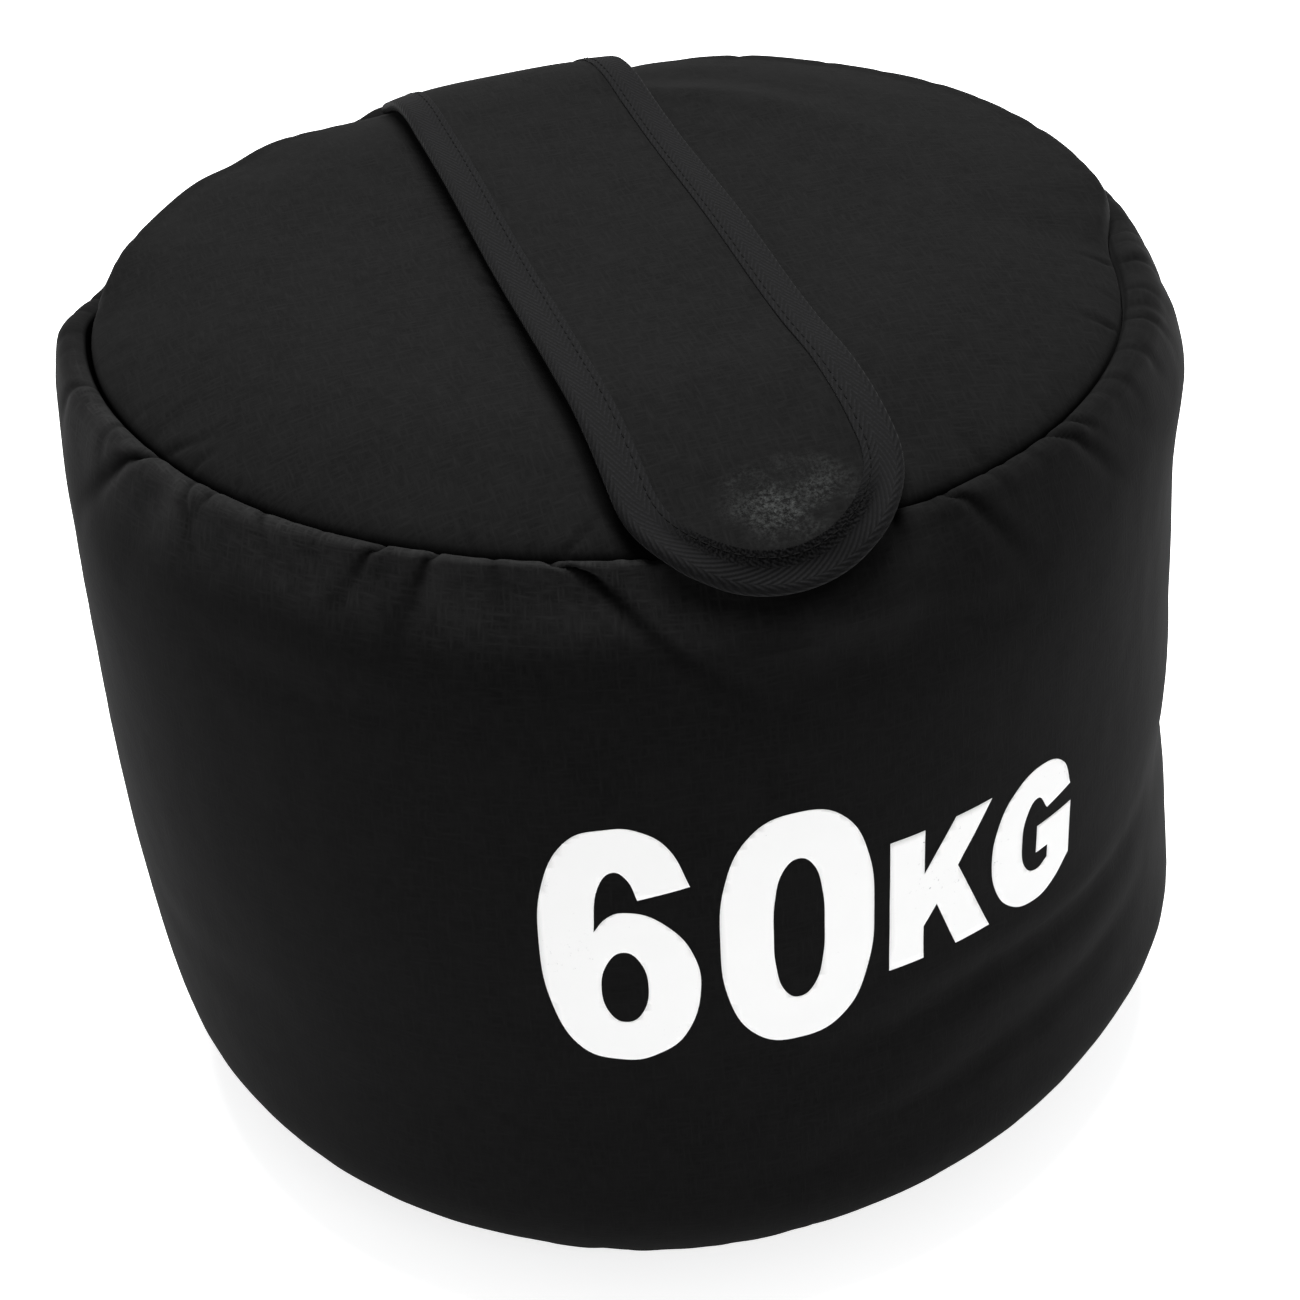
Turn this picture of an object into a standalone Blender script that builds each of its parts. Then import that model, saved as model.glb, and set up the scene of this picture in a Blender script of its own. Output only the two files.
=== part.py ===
# Round sandbag trainer: a canvas drum with a zip in its top, a closing flap over the zip,
# and a tied liner full of sand. Metres, +Z up, front at -Y, origin at the middle of the base.

import math

import bmesh
import bpy
import numpy as np
from mathutils import Matrix, Vector

# Fits
GAP = 0.0003
WELD = 0.00001
OVERRUN = 0.020
RING_STEPS = 36
SHARP_ANGLE = math.radians(35)

# Canvas shell
CANVAS = 0.0020
SEAM_RADIUS = 0.176
SEAM_HEIGHT = 0.308
BASE_SEAM_RADIUS = 0.160
BASE_SEAM_HEIGHT = 0.003
BASE_FLAT_MARGIN = 0.010
BELLY_BULGE = 0.035
SHOULDER_REACH = 0.0078
SHOULDER_RISE = 0.0025
CROWN_RISE = 0.018
PLATEAU_RADIUS = 0.115
SEAM_ALLOWANCE = 0.008
SEAM_FOLD = 0.0024
SEAM_DIP = 0.0015

# Wall outline between the seams: share of the seam height, share of the belly's bulge
WALL_SHARES = (
    (0.032, 0.443),
    (0.071, 0.740),
    (0.136, 0.937),
    (0.227, 0.997),
    (0.325, 0.966),
    (0.503, 0.857),
    (0.698, 0.680),
    (0.851, 0.569),
    (0.935, 0.471),
    (0.982, 0.370),
    (0.999, 0.305),
)
# Top outline from plateau to seam: share of the way out, share of the crown's drop
CROWN_SHARES = (
    (0.246, 0.117),
    (0.459, 0.283),
    (0.656, 0.483),
    (0.820, 0.689),
    (0.934, 0.867),
)

# Seam bindings, folded over the raw edges inside the bag
TAPE = 0.0008
TAPE_LEG = 0.0048
SIDE_TAPE_WIDTH = 0.014

# Zip
CHAIN_LENGTH = 0.180
CHAIN_FRONT = 0.084
CHAIN_THICKNESS = 0.0024
TOOTH_PITCH = 0.004
TOOTH_REACH = 0.0014
TOOTH_NECK = 0.0012
TOOTH_SPINE = 0.0012
TOOTH_ROOT = 0.0022
ZIP_TAPE_WIDTH = 0.015
ZIP_TAPE = 0.0007
ZIP_TAPE_OVERHANG = 0.002
SLOT_WIDTH = 0.020
SLOT_FRONT_ROOM = 0.024
SLOT_BACK_ROOM = 0.006
STOP_LENGTH = 0.0024
BOTTOM_STOP_LENGTH = 0.0030
# Half a tooth's outline: share of the way from root to tip, share of the way from neck to head
TOOTH_SHARES = ((0.0, 0.0), (0.5, 0.0), (0.72, 1.0), (1.0, 0.0))

# Slider and pull
SLIDER_LENGTH = 0.014
SLIDER_PLATE = 0.0013
SLIDER_WALL = 0.0013
SLIDER_FLARE = 0.0016
WEDGE_LENGTH = 0.0052
BRIDGE_LENGTH = 0.0085
BRIDGE_WIDTH = 0.0024
BRIDGE_THICKNESS = 0.0011
RING_WIRE = 0.0011
RING_WIDTH = 0.012
RING_LENGTH = 0.0125
RING_CORNER = 0.0015
RING_CORNER_STEPS = 4
PULL_WIDTH = 0.0075
PULL_LENGTH = 0.026
PULL_WEBBING = 0.0006
PULL_EYE_STEPS = 8
PULL_EYE_START = math.radians(135)

# Closing flap
FLAP_HALF_WIDTH = 0.043
FLAP_ROOT_INSET = 0.0075
FLAP_LINING = 0.0008
FLAP_CANVAS = 0.0012
FLAP_TAPE = 0.0007
FLAP_TAPE_LEG = 0.011
FLAP_TIP_STEPS = 14
TIP_PAST = 0.0072
TIP_DROP = 0.0040
HINGE_SETBACK = 0.0015
HOOK_LOOP = 0.0013
PATCH_WIDTH = 0.050
# Crown points that the flap lies over before it leaves for the shoulder, and those under its patch
CROWN_UNDER_FLAP = 5
PATCH_CROWN_POINTS = slice(2, 5)
# Height over the crown's points from the plateau's edge back towards the root: share of the full lift
ROOT_LIFT_SHARES = (1.0, 1.0, 0.86, 0.50)
# Droop of the tip past the shoulder: share of the reach, share of the drop
TIP_SHARES = ((0.5, 0.36), (1.0, 1.0))

# Liner and sand
LINER = 0.0010
DIMPLE_RADIUS = 0.062
DIMPLE_DEPTH = 0.024
NECK_RADIUS = 0.011
NECK_FLARE = 0.006
NECK_HEIGHT = 0.020
NECK_BORE = 0.001
NECK_WAIST_SHARE = 0.22
TIE_CORD = 0.0025
TIE_SIDES = 8
TIE_TURNS = 24
# Wall and crown points that the liner follows, by their place in the tables of shares
LINER_WALL_POINTS = (0, 1, 3, 4, 6, 8)
LINER_CROWN_POINTS = (4, 2, 0)
# Gathered neck: share of its height, share of its flare
NECK_SHARES = ((0.45, 0.0), (0.90, 1.0), (1.0, 0.7))
# Dimple wall: share of the dimple's radius, share of its depth
DIMPLE_SHARES = ((1.0, 0.06), (0.60, 0.80), (0.36, 1.0))

# Derived levels and places
BAG_TOP = SEAM_HEIGHT + CROWN_RISE
SHOULDER_RADIUS = SEAM_RADIUS + SHOULDER_REACH
SHOULDER_TOP = SEAM_HEIGHT + SHOULDER_RISE
SIDE_TAPE_SAG = SIDE_TAPE_WIDTH / 2 * math.tan(math.pi / RING_STEPS)
ZIP_TAPE_TOP = BAG_TOP - CANVAS - GAP
CHAIN_MIDDLE = ZIP_TAPE_TOP - ZIP_TAPE / 2
CHAIN_TOP = CHAIN_MIDDLE + CHAIN_THICKNESS / 2
CHAIN_BOTTOM = CHAIN_MIDDLE - CHAIN_THICKNESS / 2
CHAIN_HALF_WIDTH = TOOTH_ROOT + TOOTH_SPINE
CHAIN_START = -CHAIN_FRONT
CHAIN_END = CHAIN_START + CHAIN_LENGTH
SLOT_START = CHAIN_START - SLOT_FRONT_ROOM
SLOT_END = CHAIN_END + SLOT_BACK_ROOM
SLIDER_TOP = CHAIN_TOP + GAP + SLIDER_PLATE
SLIDER_BOTTOM = CHAIN_BOTTOM - GAP - SLIDER_PLATE
SLIDER_Y = CHAIN_START - GAP - WEDGE_LENGTH + SLIDER_LENGTH / 2
BRIDGE_OPENING = RING_WIRE + GAP + GAP
FLAP_LIFT = HOOK_LOOP + HOOK_LOOP + GAP + GAP + GAP
SHOULDER_LIFT = GAP + FLAP_TAPE + GAP
FLAP_STACK = FLAP_LINING + GAP + FLAP_CANVAS
LINER_TOP = SLIDER_BOTTOM - GAP
LINER_ROOM = CANVAS + GAP + SIDE_TAPE_SAG + TAPE + GAP


def clear_scene():
    for obj in list(bpy.data.objects):
        bpy.data.objects.remove(obj, do_unlink=True)


def material(name, colour, roughness, metallic=0.0):
    made = bpy.data.materials.new(name)
    made.use_nodes = True
    shader = made.node_tree.nodes["Principled BSDF"]
    shader.inputs["Base Color"].default_value = (*colour, 1.0)
    shader.inputs["Roughness"].default_value = roughness
    shader.inputs["Metallic"].default_value = metallic
    made.diffuse_color = (*colour, 1.0)
    return made


def canvas_black():
    return material("black_cotton_canvas", (0.014, 0.014, 0.015), 0.85)


def lining_black():
    return material("black_lining_cloth", (0.010, 0.010, 0.011), 0.90)


def tape_black():
    return material("black_herringbone_tape", (0.018, 0.018, 0.019), 0.80)


def hook_loop_black():
    return material("black_hook_and_loop", (0.008, 0.008, 0.008), 0.95)


def zip_plastic():
    return material("black_moulded_acetal", (0.012, 0.012, 0.012), 0.35)


def zip_cloth():
    return material("black_woven_zip_tape", (0.015, 0.015, 0.015), 0.75)


def slider_metal():
    return material("black_enamelled_zinc", (0.020, 0.020, 0.021), 0.30, 0.6)


def ring_steel():
    return material("nickel_plated_steel", (0.55, 0.54, 0.52), 0.25, 1.0)


def liner_cloth():
    return material("grey_woven_liner", (0.30, 0.30, 0.29), 0.70)


def tie_cord():
    return material("white_polyester_cord", (0.65, 0.64, 0.60), 0.80)


def dry_sand():
    return material("dry_quartz_sand", (0.55, 0.42, 0.26), 0.95)


def solid(name, bm, look):
    """Links a closed bmesh as an object, with its faces outwards and its round faces smooth."""
    bmesh.ops.recalc_face_normals(bm, faces=bm.faces)
    mesh = bpy.data.meshes.new(name)
    bm.to_mesh(mesh)
    bm.free()
    mesh.materials.append(look)
    mesh.shade_smooth()
    mesh.set_sharp_from_angle(angle=SHARP_ANGLE)
    obj = bpy.data.objects.new(name, mesh)
    bpy.context.scene.collection.objects.link(obj)
    return obj


def offset_path(points, distances):
    """The path moved to its left by a distance, or by one for each point, with mitred corners."""
    points = [Vector(point) for point in points]
    headings = [(b - a).normalized() for a, b in zip(points, points[1:])]
    normals = [Vector((-heading.y, heading.x)) for heading in headings]
    moved = []
    for index, distance in enumerate(np.broadcast_to(distances, len(points))):
        before = normals[max(index - 1, 0)]
        after = normals[min(index, len(normals) - 1)]
        mitre = (before + after).normalized()
        moved.append(points[index] + mitre * (float(distance) / mitre.dot(before)))
    return moved


def walled(path, thickness):
    """The closed outline of a wall whose right side follows the path."""
    return list(path) + offset_path(path, thickness)[::-1]


def lathe(name, outline, look, steps=RING_STEPS):
    """Turns an outline of (radius, height) points about the bag's axis."""
    bm = bmesh.new()
    corners = [bm.verts.new((radius, 0, height)) for radius, height in outline]
    pairs = zip(corners, corners[1:] + corners[:1])
    edges = [bm.edges.new(pair) for pair in pairs if max(vert.co.x for vert in pair) > WELD]
    bmesh.ops.spin(
        bm,
        geom=corners + edges,
        cent=(0, 0, 0),
        axis=(0, 0, 1),
        dvec=(0, 0, 0),
        angle=math.tau,
        steps=steps,
        use_merge=True,
    )
    bmesh.ops.remove_doubles(bm, verts=bm.verts, dist=WELD)
    return solid(name, bm, look)


def extruded(outline, depth):
    """A bmesh of a flat outline of 3-D points, extruded by a vector."""
    bm = bmesh.new()
    face = bm.faces.new([bm.verts.new(point) for point in outline])
    grown = bmesh.ops.extrude_face_region(bm, geom=[face])["geom"]
    raised = [item for item in grown if isinstance(item, bmesh.types.BMVert)]
    bmesh.ops.translate(bm, verts=raised, vec=depth)
    return bm


def plan_solid(name, outline, low, high, look):
    """Extrudes an outline of (x, y) points from one height to another."""
    bm = extruded([(x, y, low) for x, y in outline], (0, 0, high - low))
    return solid(name, bm, look)


def side_solid(name, outline, width, look):
    """Extrudes an outline of (y, z) points across X, centred on the bag."""
    bm = extruded([(-width / 2, y, z) for y, z in outline], (width, 0, 0))
    return solid(name, bm, look)


def box_solid(name, low, high, look):
    corners = ((low[0], low[1]), (high[0], low[1]), (high[0], high[1]), (low[0], high[1]))
    return plan_solid(name, corners, low[2], high[2], look)


def combine(obj, tool, operation):
    """Cuts the tool from the object, or joins it on, and hides the tool."""
    tool.hide_render = True
    tool.display_type = "WIRE"
    modifier = obj.modifiers.new(tool.name, "BOOLEAN")
    modifier.operation = operation
    modifier.object = tool


def axis_empty(name, place):
    empty = bpy.data.objects.new(name, None)
    empty.location = place
    bpy.context.scene.collection.objects.link(empty)
    return empty


def hang(obj, empty):
    """Parents an object to the empty on its joint's axis, and leaves it where it is."""
    obj.data.transform(Matrix.Translation(-empty.location))
    obj.parent = empty
    return obj


def bulge_points():
    """The wall's outside between its seams, as (radius, height)."""
    taper = SEAM_RADIUS - BASE_SEAM_RADIUS
    return [
        (BASE_SEAM_RADIUS + taper * height + BELLY_BULGE * bulge, SEAM_HEIGHT * height)
        for height, bulge in WALL_SHARES
    ]


def crown_points():
    """The top's outside from the plateau's edge towards the seam, as (radius, height)."""
    width = SEAM_RADIUS - PLATEAU_RADIUS
    slope = [(PLATEAU_RADIUS + width * out, BAG_TOP - CROWN_RISE * drop) for out, drop in CROWN_SHARES]
    return [(PLATEAU_RADIUS, BAG_TOP)] + slope


def crown_height(radius):
    radii, heights = zip(*crown_points())
    return float(np.interp(radius, radii, heights))


def make_side_panel(look):
    """The wall, with an allowance turned inside at each seam."""
    base = BASE_SEAM_RADIUS + GAP / 2
    top = SEAM_RADIUS + GAP / 2
    path = [
        (base, BASE_SEAM_HEIGHT + SEAM_ALLOWANCE),
        (base, BASE_SEAM_HEIGHT + SEAM_FOLD),
        (base + SEAM_FOLD, BASE_SEAM_HEIGHT),
        *bulge_points(),
        (SHOULDER_RADIUS, SHOULDER_TOP),
        (top + SEAM_FOLD, SEAM_HEIGHT + SEAM_DIP),
        (top, SEAM_HEIGHT - SEAM_DIP),
        (top, SEAM_HEIGHT - SEAM_DIP - SEAM_ALLOWANCE),
    ]
    lathe("side_panel", walled(path, CANVAS), look)


def make_base_panel(look):
    edge = BASE_SEAM_RADIUS - GAP / 2
    path = [
        (0, 0),
        (BASE_SEAM_RADIUS - BASE_FLAT_MARGIN, 0),
        (edge - SEAM_FOLD, BASE_SEAM_HEIGHT - SEAM_FOLD),
        (edge, BASE_SEAM_HEIGHT),
        (edge, BASE_SEAM_HEIGHT + SEAM_ALLOWANCE),
    ]
    lathe("base_panel", walled(path, CANVAS), look)


def make_top_panels(look):
    """The two halves of the top, sewn edge to edge before and behind the slot for the zip."""
    edge = SEAM_RADIUS - GAP / 2
    path = [
        (edge, SEAM_HEIGHT - SEAM_DIP - SEAM_ALLOWANCE),
        (edge, SEAM_HEIGHT - SEAM_DIP),
        *crown_points()[::-1],
        (0, BAG_TOP),
    ]
    reach = SEAM_RADIUS + OVERRUN
    slot_low = (-SLOT_WIDTH / 2, SLOT_START, BAG_TOP - OVERRUN)
    slot_high = (SLOT_WIDTH / 2, SLOT_END, BAG_TOP + OVERRUN)
    slot = box_solid("zip_slot_cutter", slot_low, slot_high, look)
    for name, side in (("left", -1), ("right", 1)):
        panel = lathe(f"top_panel_{name}", walled(path, CANVAS), look)
        low_x, high_x = sorted((side * GAP / 2, -side * reach))
        low = (low_x, -reach, SEAM_HEIGHT - SEAM_ALLOWANCE - OVERRUN)
        high = (high_x, reach, BAG_TOP + OVERRUN)
        combine(panel, box_solid(f"{name}_half_cutter", low, high, look), "DIFFERENCE")
        combine(panel, slot, "DIFFERENCE")


def folded_tape(radius, edge, side):
    """The outline of a tape folded over two raw edges at a height; side is -1 below them, 1 above."""
    inner = CANVAS + GAP / 2 + GAP
    outer = inner + TAPE
    legs = edge - side * TAPE_LEG
    return [
        (radius - outer, legs),
        (radius - outer, edge + side * (GAP + TAPE)),
        (radius + outer, edge + side * (GAP + TAPE)),
        (radius + outer, legs),
        (radius + inner, legs),
        (radius + inner, edge + side * GAP),
        (radius - inner, edge + side * GAP),
        (radius - inner, legs),
    ]


def make_seam_bindings(look):
    top_edge = SEAM_HEIGHT - SEAM_DIP - SEAM_ALLOWANCE
    base_edge = BASE_SEAM_HEIGHT + SEAM_ALLOWANCE
    lathe("top_seam_binding", folded_tape(SEAM_RADIUS, top_edge, -1), look)
    lathe("base_seam_binding", folded_tape(BASE_SEAM_RADIUS, base_edge, 1), look)
    path = offset_path(bulge_points(), CANVAS + GAP + SIDE_TAPE_SAG)
    side_solid("side_seam_binding", walled(path, TAPE), SIDE_TAPE_WIDTH, look)


def row_outline(side):
    """One row of the zip: a bead on the tape's edge with teeth that reach past the middle."""
    root = side * TOOTH_ROOT
    reach = -side * (TOOTH_ROOT + TOOTH_REACH)
    head = TOOTH_PITCH / 2 - GAP - TOOTH_NECK
    phase = 0.5 if side < 0 else 1.0
    back = side * CHAIN_HALF_WIDTH
    outline = [(back, CHAIN_END), (back, CHAIN_START), (root, CHAIN_START)]
    for index in range(int(CHAIN_LENGTH / TOOTH_PITCH - 0.5)):
        middle = CHAIN_START + TOOTH_PITCH * (index + phase)
        flank = [(root + reach * out, TOOTH_NECK / 2 + head * swell) for out, swell in TOOTH_SHARES]
        outline += [(x, middle - half) for x, half in flank]
        outline += [(x, middle + half) for x, half in flank[::-1]]
    return outline + [(root, CHAIN_END)]


def make_zip(tape_look, plastic_look):
    for name, side in (("left", -1), ("right", 1)):
        near = side * (CHAIN_HALF_WIDTH + GAP)
        low_x, high_x = sorted((near, near + side * ZIP_TAPE_WIDTH))
        low = (low_x, SLOT_START - ZIP_TAPE_OVERHANG, ZIP_TAPE_TOP - ZIP_TAPE)
        high = (high_x, SLOT_END + ZIP_TAPE_OVERHANG, ZIP_TAPE_TOP)
        box_solid(f"zip_tape_{name}", low, high, tape_look)
        plan_solid(f"zip_teeth_{name}", row_outline(side), CHAIN_BOTTOM, CHAIN_TOP, plastic_look)
        low_x, high_x = sorted((side * TOOTH_ROOT, side * CHAIN_HALF_WIDTH))
        low = (low_x, CHAIN_START - GAP - STOP_LENGTH, CHAIN_BOTTOM)
        high = (high_x, CHAIN_START - GAP, CHAIN_TOP)
        box_solid(f"zip_top_stop_{name}", low, high, plastic_look)
    low = (-CHAIN_HALF_WIDTH, CHAIN_END + GAP, CHAIN_BOTTOM)
    high = (CHAIN_HALF_WIDTH, CHAIN_END + GAP + BOTTOM_STOP_LENGTH, CHAIN_TOP)
    box_solid("zip_bottom_stop", low, high, plastic_look)


def mirrored(half):
    """A closed plan outline from its right half, which runs from the rear to the front."""
    return half + [(-x, y) for x, y in half[::-1]]


def channel_outline(rear_half_width, front_half_width):
    """The plan of the slider's channel, forked at the front by the wedge that parts the rows."""
    front = SLIDER_Y - SLIDER_LENGTH / 2
    rear = SLIDER_Y + SLIDER_LENGTH / 2
    wedge = TOOTH_ROOT - GAP
    right = [
        (rear_half_width, rear + OVERRUN),
        (rear_half_width, SLIDER_Y),
        (front_half_width, front),
        (front_half_width, front - OVERRUN),
        (wedge / 2, front - OVERRUN),
        (wedge / 2, front),
        (wedge, front + WEDGE_LENGTH / 2),
    ]
    return right + [(0, front + WEDGE_LENGTH)] + [(-x, y) for x, y in right[::-1]]


def make_slider(look):
    """The slider: two plates joined by the wedge, with walls round the chain and a bridge on top."""
    front = SLIDER_Y - SLIDER_LENGTH / 2
    rear = SLIDER_Y + SLIDER_LENGTH / 2
    channel = CHAIN_HALF_WIDTH + GAP
    waist = channel + SLIDER_WALL
    shoulders = waist + SLIDER_FLARE
    plan = mirrored(
        [
            (waist - SLIDER_WALL, rear),
            (waist, rear - SLIDER_WALL),
            (waist, SLIDER_Y),
            (shoulders, front + SLIDER_FLARE),
            (shoulders - SLIDER_FLARE, front),
        ]
    )
    slider = plan_solid("zip_slider", plan, SLIDER_BOTTOM, SLIDER_TOP, look)
    chain = plan_solid(
        "chain_channel_cutter",
        channel_outline(channel, channel + SLIDER_FLARE),
        CHAIN_BOTTOM - GAP,
        CHAIN_TOP + GAP,
        look,
    )
    tapes = plan_solid(
        "tape_channel_cutter",
        channel_outline(shoulders + OVERRUN, shoulders + OVERRUN),
        ZIP_TAPE_TOP - ZIP_TAPE - GAP,
        ZIP_TAPE_TOP + GAP,
        look,
    )
    foot = BRIDGE_LENGTH / 2
    crest = SLIDER_TOP + BRIDGE_OPENING
    arch = [
        (SLIDER_Y - foot, SLIDER_TOP - SLIDER_PLATE / 2),
        (SLIDER_Y - foot, crest),
        (SLIDER_Y - foot + BRIDGE_THICKNESS, crest + BRIDGE_THICKNESS),
        (SLIDER_Y + foot - BRIDGE_THICKNESS, crest + BRIDGE_THICKNESS),
        (SLIDER_Y + foot, crest),
        (SLIDER_Y + foot, SLIDER_TOP - SLIDER_PLATE / 2),
        (SLIDER_Y + foot - BRIDGE_THICKNESS, SLIDER_TOP - SLIDER_PLATE / 2),
        (SLIDER_Y + foot - BRIDGE_THICKNESS, crest),
        (SLIDER_Y - foot + BRIDGE_THICKNESS, crest),
        (SLIDER_Y - foot + BRIDGE_THICKNESS, SLIDER_TOP - SLIDER_PLATE / 2),
    ]
    bridge = side_solid("slider_bridge_addition", arch, BRIDGE_WIDTH, look)
    combine(slider, chain, "DIFFERENCE")
    combine(slider, tapes, "DIFFERENCE")
    combine(slider, bridge, "UNION")
    return [slider, chain, tapes, bridge]


def ring_bars():
    """Where the pull ring's two cross bars lie along the bag: under the bridge, and in front."""
    rear = SLIDER_Y - BRIDGE_LENGTH / 2 + BRIDGE_THICKNESS + GAP + RING_WIRE / 2
    return rear, rear - RING_LENGTH + RING_WIRE


def make_pull_ring(look):
    """A wire ring with rounded corners, lying flat on the slider."""
    rear, front = ring_bars()
    side = (RING_WIDTH - RING_WIRE) / 2
    level = SLIDER_TOP + GAP + RING_WIRE / 2
    centres = (
        (side - RING_CORNER, rear - RING_CORNER),
        (RING_CORNER - side, rear - RING_CORNER),
        (RING_CORNER - side, front + RING_CORNER),
        (side - RING_CORNER, front + RING_CORNER),
    )
    quarter = math.pi / 2
    points = []
    for number, (x, y) in enumerate(centres):
        for angle in np.linspace(number * quarter, (number + 1) * quarter, RING_CORNER_STEPS):
            points.append((x + RING_CORNER * math.cos(angle), y + RING_CORNER * math.sin(angle), level))
    curve = bpy.data.curves.new("zip_pull_ring", "CURVE")
    curve.dimensions = "3D"
    curve.bevel_depth = RING_WIRE / 2
    curve.bevel_resolution = 2
    spline = curve.splines.new("POLY")
    spline.points.add(len(points) - 1)
    for point, place in zip(spline.points, points):
        point.co = (*place, 1)
    spline.use_cyclic_u = True
    curve.materials.append(look)
    ring = bpy.data.objects.new("zip_pull_ring", curve)
    bpy.context.scene.collection.objects.link(ring)
    return ring


def make_pull_tab(look):
    """A webbing tab, doubled back round the ring's front bar and lying flat to the front."""
    front = ring_bars()[1]
    level = SLIDER_TOP + GAP + RING_WIRE / 2
    middle = BAG_TOP + GAP + PULL_WEBBING + GAP / 2
    eye = RING_WIRE / 2 + GAP
    turn = np.linspace(PULL_EYE_START, -PULL_EYE_START, PULL_EYE_STEPS)
    path = [
        (front - PULL_LENGTH, middle + GAP / 2),
        (front - eye - eye, middle + GAP / 2),
        *[(front + eye * math.cos(angle), level + eye * math.sin(angle)) for angle in turn],
        (front - eye - eye, middle - GAP / 2),
        (front - PULL_LENGTH, middle - GAP / 2),
    ]
    return side_solid("zip_pull_tab", walled(path, PULL_WEBBING), PULL_WIDTH, look)


def flap_path():
    """The flap's underside from past its tip to its root, as (y, z)."""
    crown = crown_points()
    root = SEAM_RADIUS - FLAP_ROOT_INSET
    front = [(-radius, height) for radius, height in crown[: CROWN_UNDER_FLAP][::-1]]
    back = [(radius, height) for radius, height in crown[: len(ROOT_LIFT_SHARES)]]
    surface = front + back + [(root, crown_height(root))]
    lifts = [FLAP_LIFT] * len(front) + [FLAP_LIFT * share for share in ROOT_LIFT_SHARES] + [GAP]
    crest = Vector((-SHOULDER_RADIUS, SHOULDER_TOP + SHOULDER_LIFT))
    droop = [crest - Vector((TIP_PAST * out, TIP_DROP * down)) for out, down in TIP_SHARES]
    runout = droop[-1] + (droop[-1] - droop[-2]).normalized() * FLAP_TAPE_LEG
    return [runout, *droop[::-1], crest, *offset_path(surface, lifts)]


def flap_marks():
    """How far from the tip each point of the flap's path lies, measured along it."""
    path = flap_path()
    steps = [(b - a).length for a, b in zip(path, path[1:])]
    return np.cumsum([-steps[0], *steps])


def bend(across, along, above):
    """Lays a point of the flat flap, with its height above the underside, onto the flap's path."""
    raised = offset_path(flap_path(), above)
    marks = flap_marks()
    y = float(np.interp(along, marks, [point.x for point in raised]))
    z = float(np.interp(along, marks, [point.y for point in raised]))
    return Vector((across, y, z))


def tip_angles():
    return np.linspace(0, math.pi, FLAP_TIP_STEPS + 1)


def crease_and_bend(bm):
    """Creases the flat flap's geometry at the path's points and lays it onto the path."""
    for mark in flap_marks()[2:-1]:
        geometry = bm.verts[:] + bm.edges[:] + bm.faces[:]
        bmesh.ops.bisect_plane(bm, geom=geometry, dist=WELD, plane_co=(0, mark, 0), plane_no=(0, 1, 0))
    for vert in bm.verts:
        vert.co = bend(*vert.co)


def flap_sheet(name, low, high, look):
    """One layer of the flap, from its flat pattern with a round tip."""
    length = flap_marks()[-1]
    pattern = [(FLAP_HALF_WIDTH, length, low)]
    for angle in tip_angles():
        across = FLAP_HALF_WIDTH * math.cos(angle)
        pattern.append((across, FLAP_HALF_WIDTH * (1 - math.sin(angle)), low))
    pattern.append((-FLAP_HALF_WIDTH, length, low))
    bm = extruded(pattern, (0, 0, high - low))
    crease_and_bend(bm)
    return solid(name, bm, look)


def edge_stations():
    """Points round the flap's edge with the direction inwards, from the root round the tip and back."""
    length = flap_marks()[-1]
    tip = []
    for angle in tip_angles():
        across = FLAP_HALF_WIDTH * math.cos(angle)
        along = FLAP_HALF_WIDTH * (1 - math.sin(angle))
        tip.append(((across, along), (-math.cos(angle), math.sin(angle))))
    return [((FLAP_HALF_WIDTH, length), (-1, 0)), *tip, ((-FLAP_HALF_WIDTH, length), (1, 0))]


def make_flap_binding(look):
    """The tape folded over the flap's edge, swept round it in the flat and then bent."""
    low = -GAP
    high = FLAP_STACK + GAP
    section = [
        (FLAP_TAPE_LEG, low),
        (-GAP, low),
        (-GAP, high),
        (FLAP_TAPE_LEG, high),
        (FLAP_TAPE_LEG, high + FLAP_TAPE),
        (-GAP - FLAP_TAPE, high + FLAP_TAPE),
        (-GAP - FLAP_TAPE, low - FLAP_TAPE),
        (FLAP_TAPE_LEG, low - FLAP_TAPE),
    ]
    bm = bmesh.new()
    loops = []
    for (across, along), (inward_x, inward_y) in edge_stations():
        places = [(across + inward_x * depth, along + inward_y * depth, level) for depth, level in section]
        verts = [bm.verts.new(place) for place in places]
        loops.append([bm.edges.new(pair) for pair in zip(verts, verts[1:] + verts[:1])])
    for first, second in zip(loops, loops[1:]):
        bmesh.ops.bridge_loops(bm, edges=first + second)
    bmesh.ops.holes_fill(bm, edges=loops[0] + loops[-1])
    crease_and_bend(bm)
    return solid("flap_binding", bm, look)


def make_patch(name, clearance, look):
    """A patch of hook or loop tape that follows the front of the crown under the flap's tip."""
    crown = [(-radius, height) for radius, height in crown_points()[PATCH_CROWN_POINTS][::-1]]
    path = offset_path(crown, clearance)
    outline = path + offset_path(crown, clearance + HOOK_LOOP)[::-1]
    return side_solid(name, outline, PATCH_WIDTH, look)


def make_flap(canvas_look, lining_look, tape_look, hook_look):
    return [
        flap_sheet("flap_lining", 0, FLAP_LINING, lining_look),
        flap_sheet("flap_outer", FLAP_LINING + GAP, FLAP_STACK, canvas_look),
        make_flap_binding(tape_look),
        make_patch("hook_patch", GAP + HOOK_LOOP + GAP, hook_look),
    ]


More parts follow.
